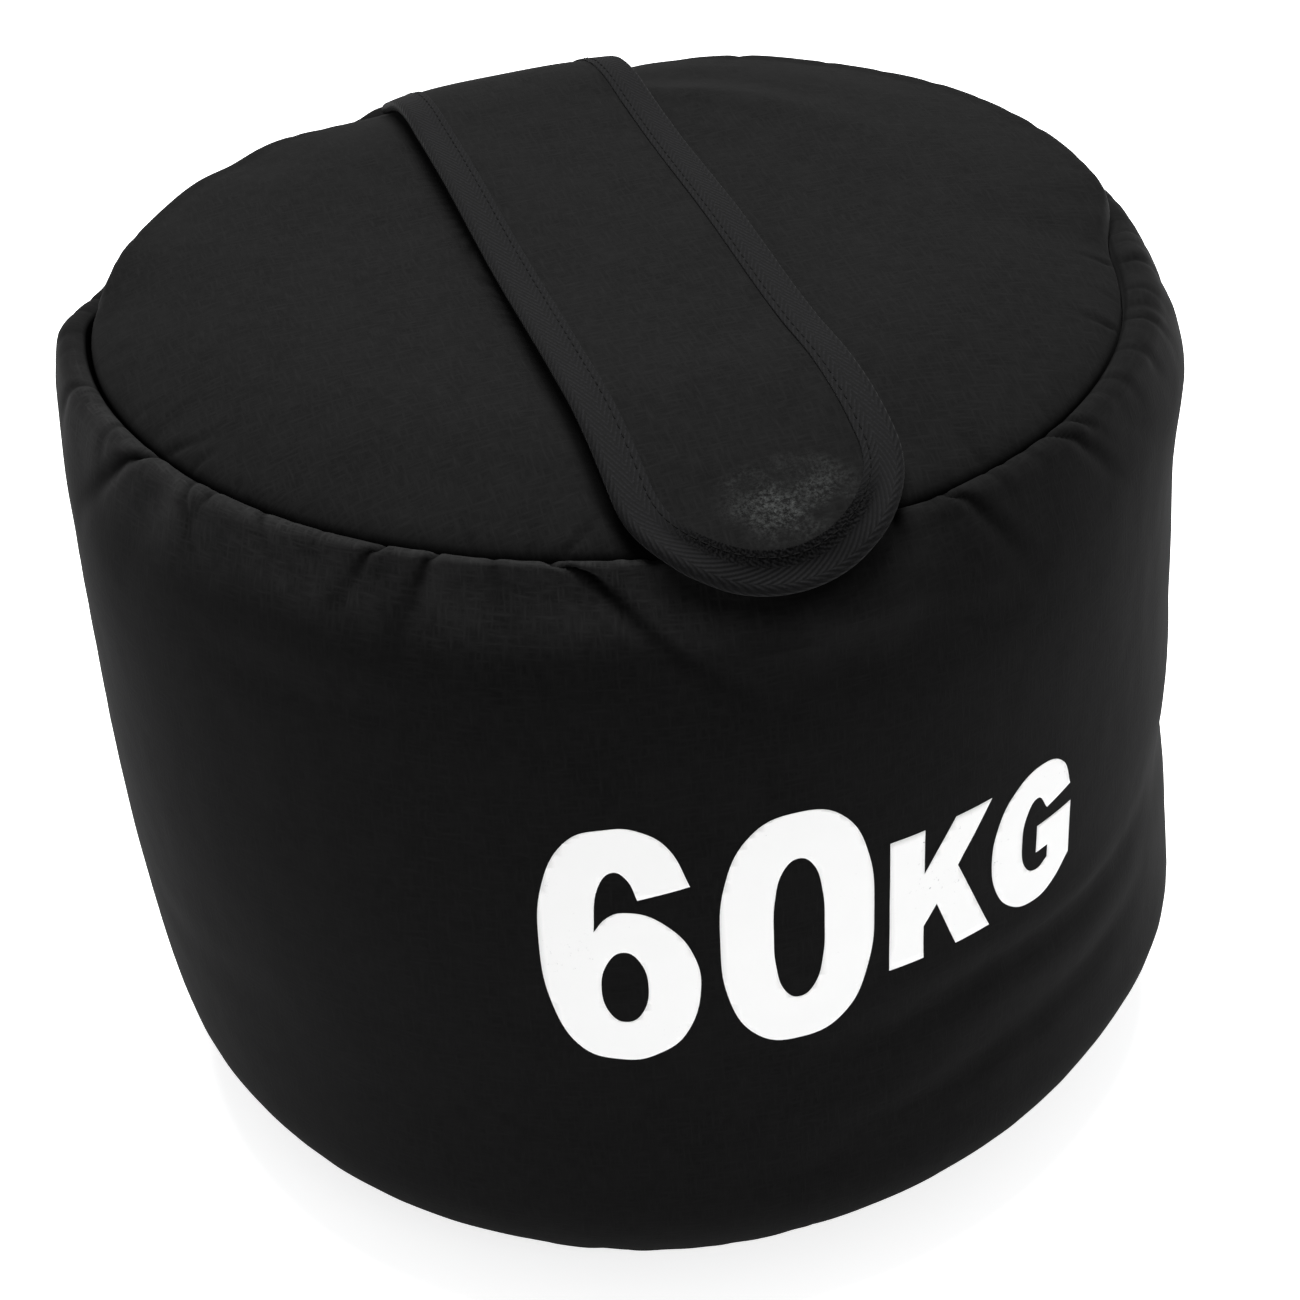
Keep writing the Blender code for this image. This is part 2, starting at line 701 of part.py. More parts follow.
def liner_path():
    """The liner's outside from the middle of its floor to the foot of its neck."""
    lap = GAP / 2 + CANVAS + GAP + TAPE + GAP
    base_edge = BASE_SEAM_HEIGHT + SEAM_ALLOWANCE + GAP + TAPE + GAP
    top_edge = SEAM_HEIGHT - SEAM_DIP - SEAM_ALLOWANCE - GAP - TAPE - GAP
    wall = offset_path([bulge_points()[index] for index in LINER_WALL_POINTS], LINER_ROOM)
    slope = [crown_points()[index] for index in LINER_CROWN_POINTS]
    crown = offset_path([*slope, (0, BAG_TOP)], BAG_TOP - LINER_TOP)[:-1]
    dimple = [(DIMPLE_RADIUS * out, LINER_TOP - DIMPLE_DEPTH * down) for out, down in DIMPLE_SHARES]
    return [
        (0, CANVAS + GAP),
        (BASE_SEAM_RADIUS - BASE_FLAT_MARGIN, CANVAS + GAP),
        (BASE_SEAM_RADIUS - lap, base_edge),
        (BASE_SEAM_RADIUS + lap, base_edge),
        *wall,
        (SEAM_RADIUS + lap, top_edge),
        (SEAM_RADIUS - lap, top_edge),
        *crown,
        *dimple,
        (NECK_RADIUS, LINER_TOP - DIMPLE_DEPTH),
    ]


def make_liner(liner_look, cord_look, sand_look):
    """The inner bag with its gathered neck, the cord round the neck, and the sand."""
    path = liner_path()
    floor = LINER_TOP - DIMPLE_DEPTH
    neck = [(NECK_RADIUS + NECK_FLARE * flare, floor + NECK_HEIGHT * up) for up, flare in NECK_SHARES]
    bore = [(NECK_BORE, floor + NECK_HEIGHT), (NECK_BORE, floor - LINER)]
    lathe("liner_bag", path + neck + bore + offset_path(path, LINER)[::-1], liner_look)
    heap = offset_path(path, LINER + GAP)
    lathe("sand_fill", heap + [(0, heap[-1].y)], sand_look)
    ring = NECK_RADIUS + GAP + TIE_CORD / 2
    height = floor + NECK_HEIGHT * NECK_WAIST_SHARE
    circle = []
    for angle in np.linspace(0, math.tau, TIE_SIDES, endpoint=False):
        circle.append((ring + math.cos(angle) * TIE_CORD / 2, height + math.sin(angle) * TIE_CORD / 2))
    lathe("liner_tie", circle, cord_look, TIE_TURNS)


def main():
    clear_scene()
    canvas = canvas_black()
    tape = tape_black()
    hook_and_loop = hook_loop_black()
    make_side_panel(canvas)
    make_base_panel(canvas)
    make_top_panels(canvas)
    make_seam_bindings(tape)
    make_zip(zip_cloth(), zip_plastic())
    make_patch("loop_patch", GAP, hook_and_loop)
    make_liner(liner_cloth(), tie_cord(), dry_sand())

    root = flap_path()[-1]
    hinge = axis_empty("flap_hinge_axis", (0, root.x + HINGE_SETBACK, root.y))
    for obj in make_flap(canvas, lining_black(), tape, hook_and_loop):
        hang(obj, hinge)

    slider_axis = axis_empty("slider_axis", (0, SLIDER_Y, CHAIN_MIDDLE))
    for obj in [*make_slider(slider_metal()), make_pull_ring(ring_steel()), make_pull_tab(tape)]:
        hang(obj, slider_axis)


main()
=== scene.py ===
"""Looks of a round canvas sandbag trainer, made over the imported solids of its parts."""

import itertools
import math

import bmesh
import bpy
import numpy as np
from mathutils import Matrix, Vector
from mathutils.bvhtree import BVHTree


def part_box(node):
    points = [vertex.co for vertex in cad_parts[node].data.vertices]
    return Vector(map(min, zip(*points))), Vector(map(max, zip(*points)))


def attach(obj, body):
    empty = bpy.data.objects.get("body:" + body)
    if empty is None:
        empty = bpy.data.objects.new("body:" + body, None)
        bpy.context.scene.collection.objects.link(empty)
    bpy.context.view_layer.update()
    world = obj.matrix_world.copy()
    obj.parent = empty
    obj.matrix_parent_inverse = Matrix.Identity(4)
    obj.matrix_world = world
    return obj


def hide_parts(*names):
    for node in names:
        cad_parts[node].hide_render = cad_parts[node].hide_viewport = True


bl_info = {
    "name": "Canvas Sandbag",
    "version": (1, 0, 0),
    "blender": (4, 5, 0),
    "location": "3D View > Sidebar > Sandbag",
    "description": "Makes the cloth, closures, weight mark and stage of a round canvas sandbag",
    "category": "Add Mesh",
}

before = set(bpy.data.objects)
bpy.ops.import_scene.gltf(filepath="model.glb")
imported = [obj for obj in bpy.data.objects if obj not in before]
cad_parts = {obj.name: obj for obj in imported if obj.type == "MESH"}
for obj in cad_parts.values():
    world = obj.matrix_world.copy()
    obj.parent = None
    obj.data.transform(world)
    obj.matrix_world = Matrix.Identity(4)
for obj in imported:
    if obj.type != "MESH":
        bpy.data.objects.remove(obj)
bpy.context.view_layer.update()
MM = 0.001
BAG_MIDDLE = Vector((0, 0, 160)) * MM

# The bag's lines. Values are in mm and degrees unless a comment says otherwise, and a bearing is counted
# from the front of the bag, positive to the right.

# Outside of the wall from the turned-in edge at the foot to the one at the top: radius, height
WALL_LINE = (
    (160.4, 9.5), (160.5, 5.0), (162.6, 3.2), (168.0, 4.8), (176.4, 9.9), (187.2, 21.9), (195.0, 41.9),
    (198.5, 69.9), (199.0, 100.1), (198.0, 154.9), (195.4, 215.0), (193.6, 262.1), (191.4, 288.0),
    (188.8, 302.3), (186.0, 308.4), (182.4, 310.7), (178.9, 310.0), (176.6, 307.4), (176.2, 304.0),
    (176.2, 298.6),
)
# Inner face of the wall, from under its top edge down to its foot
WALL_INSIDE = ((172.0, 290.0), (186.0, 262.0), (191.0, 160.0), (191.0, 80.0), (184.0, 38.0), (166.0, 14.0))
# Outside of the top from its middle to its turned-down edge
TOP_LINE = (
    (0.0, 326.0), (40.0, 326.0), (80.0, 326.0), (104.0, 325.9), (117.0, 325.5), (130.0, 323.9),
    (143.0, 321.0), (155.0, 317.4), (165.0, 313.8), (171.6, 310.7), (174.8, 308.0), (175.7, 304.0),
    (175.7, 298.6),
)
# Outside of the base from its middle to its turned-up edge
BASE_LINE = (
    (0.0, 0.0), (60.0, 0.0), (110.0, 0.0), (148.0, 0.0), (155.5, 0.6), (159.2, 2.6), (159.8, 5.5),
    (159.8, 9.5),
)
# Underside of the flap from past its tip to its root: y, z. The second point is the tip.
FLAP_LINE = (
    (-200.0, 301.4), (-191.0, 307.8), (-187.4, 310.4), (-183.8, 311.9), (-166.2, 316.9), (-156.1, 320.6),
    (-143.9, 324.3), (-130.6, 327.3), (-115.2, 329.4), (-90.0, 329.5), (90.0, 329.5), (115.2, 329.4),
    (130.6, 327.3), (143.8, 323.8), (155.6, 319.0), (168.6, 312.3),
)
# Samples of a smooth curve for each even step along it
CURVE_SAMPLES = 6
LINE_STEP = 0.3 * MM
# Where the points near the seam start to thin out, and over what length they do
GRADED = (34.0, 40.0)
# Share of the wide step that the top takes, and the even step of the base
TOP_WIDE_SHARE = 0.8
BASE_STEP = 3.4 * MM
# Radius on which the wall's folds, weave and print are measured, and the one for the seam's creases
WALL_RADIUS = 197.0
SEAM_RADIUS = 180.0
CANVAS_THICKNESS = 1.6 * MM

# How the filled bag stands out of round

SHOULDER_LEVEL = 310.0
# Push by height from foot to shoulder as a level, a slope and a bow. Each row is an even push, then the
# shares of cos, sin, cos 2 and sin 2 of the bearing.
WALL_SWAY = (
    (-0.4, 0.0, 1.4, -0.1, -2.1),
    (2.3, 1.6, -3.3, -1.1, -0.4),
    (2.4, 4.5, 4.5, 0.9, -4.6),
)
# Taken off the bow, so that it leaves the wall's mean radius as it is
BOW_MEAN = 0.33
SEAM_SWAY = (-0.7, -1.6, -2.4, 0.4, 4.8)
SEAM_TILT = (0.0, -0.2, -3.0)
# Heights over which the tilt comes in
TILT_LEVELS = (200.0, 308.0)
# Where the foot draws in under the load: height, spread, push
FOOT_TUCKS = ((15, 18, -7.0), (50, 25, 0.9))
# Height over which the pushes come in above the floor
FOOT_LEVELS = (0.0, 9.0)
# Heights over which the wall goes over to the sewn seam, and reach over which the top does
SEAM_LEVELS = (262.0, 308.0)
SLOPE_REACH = (110.0, 176.0)
# Bearing of the front as it stands, with the reach to each side where the upper wall follows the seam
FACING = -14.0
FACING_SIDES = (40.0, 80.0)
FACING_LEVELS = (130.0, 270.0)
FACING_PUSH = 1.0
# Sink of the shoulder there: depth, reach, spread
SHOULDER_SINK = (1.6, 183.5, 5.0)
# Soft bulges of the wall: bearing, spread, height, spread, push
WALL_BULGES = (
    (66, 15, 286, 26, 5.0), (63, 14, 124, 20, -3.2), (56, 16, 54, 20, 2.6), (66, 16, 215, 34, 1.2),
    (-98, 16, 262, 36, -2.0), (-14, 46, 301, 17, -7.5), (2, 16, 293, 13, 9.0),
)
BULGE_REACH = (179.0, 190.0)
# Lumps of the filling: height, size, seed
WALL_LUMPS = ((0.9, 95, 1), (0.5, 42, 2))
WALL_LUMP_REACH = (120.0, 180.0)
WALL_LUMP_LEVELS = (0.0, 40.0)
TOP_LUMPS = ((0.6, 60, 3), (0.35, 42, 2))
# Heaps and hollows of sand under the top: x, y, lift, spread
TOP_HEAPS = (
    (-95, 60, -1.6, 48), (-70, -95, 0.9, 40), (100, 105, 1.4, 40), (105, -20, -1.0, 42), (60, -110, 0.6, 34),
)
# Distance from the bag's middle line over which the lumps show beside the flap, and the reach near the
# seam where half of them shows under it too
BESIDE_FLAP = (36.0, 66.0)
UNDER_FLAP = (165.0, 180.0)
# Heights over which a lift of the top comes in, and the one above which the seam's own forms show
LIFT_LEVELS = (285.0, 310.0)
SEAM_FORM_LEVEL = 290.0
# Ditch of the top seam: depth, reach, spread
SEAM_DITCH = (0.9, 176.0, 1.9)
# Where the filling presses the seam nearly flat, at the right: bearing, spread. Then how much of the ditch
# and of the seam's painted shade it takes away, above 1 where the seam stands proud.
FULL_END = (76.0, 32.0)
FULL_END_DITCH = 2.4
FULL_END_SHADE = 0.7
# Where the sand stands highest, at the back, the top rolls out over its seam and hides it:
# bearing of the middle, and how far to each side the roll starts to fade and ends
ROLL_MIDDLE = 166.0
ROLL_SIDES = (79.0, 93.0)
# Push outwards and lift there, by distance from the bag's middle
ROLL_LINE = (
    (112.0, 0.0, 0.0), (130.0, 0.0, 0.6), (145.0, 0.5, 2.2), (158.0, 2.2, 3.8), (166.0, 4.6, 4.8),
    (171.6, 6.0, 5.0), (174.8, 3.2, -0.5), (175.8, 0.6, -3.5), (176.6, 0.0, -4.5), (182.4, 0.0, -5.0),
    (204.0, 0.0, -5.0),
)
ROLL_STEP = 0.25
ROLL_LEVEL = 285.0
# Distance from the bag's middle line over which the roll rises beside the flap
ROLL_BESIDE = (40.0, 110.0)
# The same for the hidden seam behind it, which keeps a share of its drop under the flap
DROP_BESIDE = (44.0, 62.0)
DROP_UNDER = 0.35
# Tucks that dent the roll: bearing, spread, drop, with the reach over which they deepen
ROLL_TUCKS = ((-141, 5.0, 2.2), (83, 3.5, 2.0), (138, 15.0, 3.4))
ROLL_TUCK_REACH = (140.0, 165.0)
# Ridge and hollow of the top at the back: bearing, spread, then reach, spread and lift of each
BACK_RIDGE = (146, 26, (117, 7, 1.3), (137, 11, -1.8))
RIDGE_BESIDE = (42.0, 54.0)
# Groove that the flap's edge presses into the top: depth, distance inside the edge, spread,
# then the y over which it ends at the root, and the heights over which it comes in
FLAP_GROOVE = (2.2, 2.5, 4.5)
GROOVE_END = (110.0, 150.0)
GROOVE_LEVELS = (296.0, 304.0)

# Folds, creases and wear of the cloth

# Folds of the wall, each a line of (bearing, height), a half width and a depth, below nought for a ridge
LONG_FOLDS = (
    (((-4, 117), (10, 117), (20, 123), (36, 121), (54, 126)), 6.0, 1.9),
    (((2, 134), (16, 138), (30, 132), (46, 127)), 6.5, -0.9),
    (((8, 97), (22, 109), (34, 106), (50, 107)), 6.0, -1.0),
    (((-2, 75), (12, 80), (22, 86), (36, 89), (52, 94)), 6.0, 1.8),
    (((-8, 92), (6, 90), (18, 96)), 5.5, -0.5),
    (((-12, 69), (6, 65), (20, 67)), 6.0, 1.0),
    (((-86, 118), (-70, 113), (-54, 118)), 11.0, 0.8),
    (((-62, 264), (-46, 258), (-32, 261)), 8.0, 0.8),
    (((-2, 266), (12, 270), (28, 269)), 9.0, 0.7),
    (((62, 186), (78, 198), (92, 214)), 11.0, 0.8),
    (((60, 142), (74, 148), (90, 146)), 9.0, 0.8),
    (((110, 116), (130, 110), (152, 103)), 12.0, 1.1),
    (((160, 84), (178, 90), (196, 95)), 12.0, 1.0),
    (((-160, 132), (-140, 140), (-120, 151)), 12.0, 1.0),
)
# Steepness of a fold's rise from its two ends. At 4.4 its middle third has the full depth.
FOLD_TAPER = 4.4
# Creases that the seam pulls into the wall, then those in the top:
# bearing, depth, length, lean to the right on the way from the seam, half width
WALL_CREASES = (
    (-88, 1.8, 18, -0.3, 1.9), (-79, 1.6, 14, 0.2, 1.7), (-70, 3.8, 26, -0.9, 2.4), (-64, 2.4, 16, 0.3, 1.4),
    (-60, 1.8, 14, -0.2, 1.3), (-54, 1.5, 12, 0.3, 1.3), (-46, 1.3, 12, -0.1, 1.4),
    (-38.5, 3.4, 18, -0.55, 1.3), (-33, 3.2, 24, -0.35, 1.5), (-27.5, 1.9, 18, 0.1, 1.4),
    (-22.4, 4.6, 30, 1.0, 1.6), (-14, 1.2, 12, 0.2, 1.3), (-6, 1.3, 10, 0.3, 1.3), (4, 1.4, 9, -0.2, 1.3),
    (10, 1.4, 8, 0.3, 1.2), (18.5, 3.3, 22, 0.55, 1.5), (24, 1.4, 12, 0.2, 1.3), (33, 3.2, 20, 0.7, 1.5),
    (36.5, 1.8, 15, 0.6, 1.2), (46, 1.2, 13, 0.3, 1.5), (52, 1.1, 17, 0.35, 1.6), (59, 1.7, 15, 0.2, 1.6),
    (66, 0.7, 12, -0.2, 1.5), (72, 1.8, 18, 0.3, 2.0), (81, 0.9, 16, 0.1, 1.8), (90, 0.8, 14, 0.1, 2.0),
)
TOP_CREASES = (
    (-71, 1.8, 12, 0.7, 2.2), (-66, 1.1, 9, 0.2, 1.3), (-21, 1.7, 12, 0.9, 1.3), (-30, 1.0, 8, -0.4, 1.2),
    (12, 1.2, 8, -0.5, 1.3), (36, 0.8, 7, 0.4, 1.3), (57, 1.6, 10, -0.2, 1.5), (63, 0.6, 8, 0.1, 1.4),
    (72, 1.5, 10, -0.2, 1.5),
)
# Unnamed creases at uneven spacings: length, least and most half width, seed, and the share of the depth
# that is left where the filling is full. All but the puckers start with their count and depth.
PUCKERS = (10, (1.1, 2.6), 11, 0.4)
SOFT_CREASES = (34, 1.3, 26, (4.5, 8.5), 13, 0.4)
FOOT_CREASES = (70, 0.7, 13, (2.6, 6.0), 12, 1.0)
TOP_PUCKERS = (60, 0.45, 9, (1.4, 3.4), 21, 0.4)
FULL_BEARINGS = (38.0, 100.0)
# A crease widens by this share of the way from the seam, has a ridge to each side with this share of its
# depth and this many times its width, and fades by this power of the way
CREASE_FAN = 0.10
RIDGE_SHARE = 0.22
RIDGE_WIDTH = 2.6
CREASE_FADE = 1.5
# Furthest from the seam that creases reach, and how soon they rise from it
CREASE_REACH = 70.0
CREASE_START = 1.6
# Fine unevenness of the cloth: height, size, seed
WALL_GRAIN = (0.16, 9, 5)
TOP_GRAIN = (0.10, 8, 6)
# Depth of a crease at which its painted shade is full, then the strength of the painted shade in the seam's
# gap and its width on the wall and on the top
CREASE_SHADE_DEPTH = 2.6
SEAM_SHADE = 1.1
WALL_SHADE = 1.0
TOP_SHADE = 0.9
# Painted shade on the cloth along the flap's edge, where the flap shades it: strength, distance outside the
# edge, spread, level, furthest y
FLAP_SHADE = (0.6, 1.0, 2.6, 280.0, 150.0)
# Painted highlight: a band where the front of the shoulder is painted paler: bearings over which that comes
# and goes, distance from the seam over which it fades, its raggedness as height, size and seed, and its
# patches as level, share, size and seed
HIGHLIGHT_LEFT = (-102.0, -78.0)
HIGHLIGHT_RIGHT = (-10.0, 8.0)
HIGHLIGHT_FADE = (22.0, 44.0)
HIGHLIGHT_RAGGED = (9, 30, 14)
HIGHLIGHT_PATCHES = (0.75, 0.35, 16, 15)
# Distance from the seam's crest to where the wall's creases start, and length over which they come in
WALL_TURN = 5.0
TURN_FADE = 4.0
# Distance up from the wall's lower edge to where the foot's creases start
FOOT_TURN = 6.0
# Distances from the top's cut edge to where its creases start, and to where they are let in
TOP_TURN = 9.0
TOP_EDGE = 7.0
# Distances from the bag's middle line over which the top's creases and grain come in beside the flap, and
# the share of the creases that is left under it
CREASE_BESIDE = (30.0, 50.0)
CREASE_UNDER = 0.25
GRAIN_BESIDE = (12.0, 20.0)
# Lengths of the wall that are held while it swells: along the foot, then back from its top edge
HELD_FOOT = (14.0, 34.0)
HELD_TOP = (17.0, 13.0)
SWELL_FRAMES = 20
SWELL_SETTINGS = {
    "quality": 5,
    "mass": 0.3,
    "tension_stiffness": 30,
    "compression_stiffness": 30,
    "shear_stiffness": 12,
    "bending_stiffness": 0.8,
    "use_pressure": True,
    "uniform_pressure_force": 4,
}

# Flap and closures

FLAP_HALF_WIDTH = 43.0
# y of the middle of the flap's round tip
TIP_MIDDLE = -146.0
# How much further out the tip lies than its flat pattern gives, and how far back that fades
TIP_REACH = (5.0, 200.0)
# Waves along the flap's edges: height, length of one radian, distance from the tip over which they come in
FLAP_WAVES = (0.9, 23.0, 60.0)
# How the edges droop at the root, and the tip at its end: depth, then the places along, or the spread
ROOT_DROOP = (2.6, 316.0, 362.0)
TIP_DROOP = (3.6, 14.0)
# How the flap lies off the bag's middle line: even, then a swing with its place along, spread and skew
FLAP_ASIDE = 1.3
FLAP_SWING = (1.3, 55.0, 45.0, 0.7)
# Rows round the tip and along the flap, and columns across it
TIP_ROWS = 22
FLAP_ROWS = 112
FLAP_COLUMNS = 30
# Distance from the tip over which the cover's crown comes in
CROWN_START = 40.0
# Print of the closure through the cover: rise, half width, middle along, half length, soft edge
PATCH_PRINT = (0.25, 22.0, 38.0, 11.0, 3.0)
COVER_GRAIN = (0.22, 26, 8)
TAPE_GRAIN = (0.10, 11, 9)
# The flap's layers: name, node, inset, level of the upper face and thickness
COVER = ("flap_cover", "flap_outer", 0.4, 2.3, 1.1)
UNDERSIDE = ("flap_underside", "flap_lining", 0.6, 0.8, 0.7)
# Binding: levels of its inner faces, thickness, and how far inside the edge its fold starts
TAPE_LEVELS = (-0.25, 2.6)
TAPE_THICKNESS = 0.7
FOLD_INSET = 0.6
LEG_END = 1.0
# Points of the tape's two legs, as shares of the way from the edge of the tape to the fold
UPPER_LEG = (0, 0.04, 0.2, 0.35, 0.5, 0.65, 0.9)
LOWER_LEG = (0.9, 0.6, 0.3, 0.04, 0)
FOLD_POINTS = 7
TAPE_STEP = 3.0
# Where the tape is gathered round the tip, and its pits get painted shade: distances back from the tip's
# middle, then inwards from the edge
GATHER_ROUND = (6.0, 26.0)
GATHER_INWARD = (3.0, 7.5)
# Stitches: share of a stitch that shows, distance from the tape's inner edge and level on the flap
STITCH_SHARE = 0.72
FLAP_STITCH_INSET = 2.2
FLAP_STITCH_LEVEL = 3.36
FLAP_THREAD = 0.55
FINE_THREAD = 0.5
FINE_STITCH = 3.4
PATCH_STITCH_INSET = 1.9
SLOT_STITCH_AWAY = 2.6
# Levels above and below the closures from which the stitches are cast onto them
SEWN_LEVEL = 320.0
SEWN_CAST = 60.0

SLOT_HALF_WIDTH = 10.0
SLOT_FRONT = -108.0
SLOT_BACK = 102.0
SLOT_LEVEL = 300.0
# Half of the gap between the top's halves where they meet
HALVES_GAP = 0.15
PATCH_GRID = (80, 36)
PATCH_SHORT = 0.4
PATCH_SUNK = 0.15
PATCH_THICKNESS = 1.0
# Pile of the patches: height and seed
PILE = (0.15, 31)
ZIP_GRID = (12, 90)
# Woven edge bead of the zip's tape: height and spread, then the level of the cloth under the solid's top
ZIP_BEAD = (0.10, 1.6)
ZIP_SUNK = 0.08
WEBBING_THICKNESS = 0.55
# Eye of the webbing round the ring's bar: its gap from the wire, its turn to each side in degrees, the
# levels of its legs from the bar, and how far from the bar they end
EYE_GAP = 0.58
EYE_TURN = 125.0
LEG_LEVELS = (0.46, -0.40)
EYE_LEG = 2.6
LEG_POINTS = 12
WEBBING_COLUMNS = 8

# Weight mark

# Heavy upright figures and letters as outlines of shares of their own width and height.
# Each point is smooth, or a corner where it ends in True.
SIX_SHARES = (
    (
        (0.45, 1.0), (0.66, 0.985), (0.84, 0.90), (0.95, 0.745, True), (0.625, 0.705, True), (0.57, 0.79),
        (0.475, 0.825), (0.385, 0.76), (0.345, 0.575, True), (0.42, 0.63), (0.53, 0.655), (0.80, 0.585),
        (0.965, 0.43), (0.99, 0.30), (0.90, 0.11), (0.70, 0.015), (0.47, 0.0), (0.20, 0.075), (0.045, 0.28),
        (0.0, 0.52), (0.035, 0.76), (0.19, 0.945),
    ),
    (
        (0.52, 0.485), (0.62, 0.44), (0.665, 0.33), (0.625, 0.215), (0.52, 0.17), (0.415, 0.215),
        (0.372, 0.33), (0.42, 0.44),
    ),
)
NOUGHT_SHARES = (
    (
        (0.50, 1.0), (0.82, 0.925), (0.965, 0.74), (1.0, 0.5), (0.965, 0.26), (0.82, 0.075), (0.50, 0.0),
        (0.18, 0.075), (0.035, 0.26), (0.0, 0.5), (0.035, 0.74), (0.18, 0.925),
    ),
    (
        (0.50, 0.81), (0.60, 0.765), (0.655, 0.64), (0.665, 0.5), (0.655, 0.36), (0.60, 0.235), (0.50, 0.19),
        (0.40, 0.235), (0.345, 0.36), (0.335, 0.5), (0.345, 0.64), (0.40, 0.765),
    ),
)
K_SHARES = (
    (
        (0.0, 0.0, True), (0.0, 1.0, True), (0.33, 1.0, True), (0.33, 0.66, True), (0.64, 1.0, True),
        (1.02, 1.0, True), (0.67, 0.615, True), (1.03, 0.0, True), (0.66, 0.0, True), (0.46, 0.385, True),
        (0.33, 0.25, True), (0.33, 0.0, True),
    ),
)
G_SHARES = (
    (
        (0.965, 0.70, True), (0.86, 0.90), (0.56, 1.0), (0.24, 0.92), (0.05, 0.72), (0.0, 0.50), (0.05, 0.27),
        (0.23, 0.075), (0.52, 0.0), (0.78, 0.045), (0.985, 0.17, True), (0.985, 0.56, True),
        (0.53, 0.56, True), (0.53, 0.36, True), (0.68, 0.36, True), (0.68, 0.265, True), (0.545, 0.225),
        (0.40, 0.30), (0.345, 0.50), (0.39, 0.69), (0.52, 0.775), (0.65, 0.655, True),
    ),
)
# Each character's outline, with its left edge, width, foot and height on the wall
MARK = (
    (SIX_SHARES, -88.0, 52.2, 127.5, 94.5),
    (NOUGHT_SHARES, -29.5, 52.3, 126.5, 93.5),
    (K_SHARES, 28.6, 39.4, 143.5, 53.5),
    (G_SHARES, 69.8, 40.0, 141.5, 56.0),
)
# Level about which the characters lean, spacing of the cuts that let them follow the cloth, and how far
# past a character's sides they go
MARK_MIDDLE = 180.0
MARK_CUTS = 3.0
MARK_MARGIN = 10.0
OUTLINE_STEPS = 8
INK_THICKNESS = 0.12
# Distance from the bag's axis, outside the wall, from which the ink is cast onto it
INK_CAST = 0.3


def linear(code):
    """A hex sRGB colour as linear values."""
    values = [int(code[place:place + 2], 16) / 255 for place in (1, 3, 5)]
    return tuple(v / 12.92 if v <= 0.04045 else ((v + 0.055) / 1.055) ** 2.4 for v in values)


class SandbagCloth(bpy.types.PropertyGroup):
    canvas: bpy.props.FloatVectorProperty(
        name="Canvas", description="Colour of the cotton canvas", subtype="COLOR", default=linear("#070707")
    )
    tape: bpy.props.FloatVectorProperty(
        name="Tape", description="Colour of the twill binding", subtype="COLOR", default=linear("#0b0b0c")
    )
    thread_pitch: bpy.props.FloatProperty(
        name="Thread pitch",
        description="Spacing of the canvas threads as drawn",
        unit="LENGTH",
        default=1.2 * MM,
    )
    cloth_step: bpy.props.FloatProperty(
        name="Cloth step",
        description="Spacing of the points in the cloth simulation",
        unit="LENGTH",
        default=4.0 * MM,
    )
    cloth_turns: bpy.props.IntProperty(
        name="Cloth turns", description="Points round the simulated cloth", default=300
    )
    ease: bpy.props.FloatProperty(
        name="Ease", description="How much larger the cloth is cut than its place", default=0.02
    )
    swell_most: bpy.props.FloatProperty(
        name="Most swell",
        description="Furthest that simulated cloth moves out",
        unit="LENGTH",
        default=3.0 * MM,
    )
    fine_step: bpy.props.FloatProperty(
        name="Fine step",
        description="Spacing of the points near the top seam",
        unit="LENGTH",
        default=1.6 * MM,
    )
    wide_step: bpy.props.FloatProperty(
        name="Wide step",
        description="Spacing of the points away from it",
        unit="LENGTH",
        default=5.2 * MM,
    )
    ring_steps: bpy.props.IntProperty(name="Steps round", description="Points round the wall", default=960)
    puckers: bpy.props.IntProperty(
        name="Puckers", description="Small creases that the top seam draws in", default=88
    )
    pucker_depth: bpy.props.FloatProperty(
        name="Pucker depth", description="Depth of a usual pucker", unit="LENGTH", default=1.0 * MM
    )


class SandbagFlap(bpy.types.PropertyGroup):
    half_width: bpy.props.FloatProperty(
        name="Half width",
        description="Half the width of the flap's canvas",
        unit="LENGTH",
        default=FLAP_HALF_WIDTH * MM,
    )
    length: bpy.props.FloatProperty(
        name="Length", description="From the tip to the sewn root", unit="LENGTH", default=366.0 * MM
    )
    tape_leg: bpy.props.FloatProperty(
        name="Tape leg", description="Width of the binding on each side", unit="LENGTH", default=11.0 * MM
    )
    crown: bpy.props.FloatProperty(
        name="Crown",
        description="Rise of the flap's middle between its bound edges",
        unit="LENGTH",
        default=0.7 * MM,
    )
    stitch: bpy.props.FloatProperty(
        name="Stitch", description="Length of one stitch with its gap", unit="LENGTH", default=4.2 * MM
    )


class SandbagMark(bpy.types.PropertyGroup):
    ink: bpy.props.FloatVectorProperty(
        name="Ink",
        description="Colour of the screen-printed weight",
        subtype="COLOR",
        default=linear("#f6f6f5"),
    )
    film: bpy.props.FloatProperty(
        name="Film", description="Height of the ink above the cloth", unit="LENGTH", default=0.18 * MM
    )
    slant: bpy.props.FloatProperty(
        name="Slant",
        description="Lean of the figures to the right",
        subtype="ANGLE",
        default=math.radians(1.5),
    )


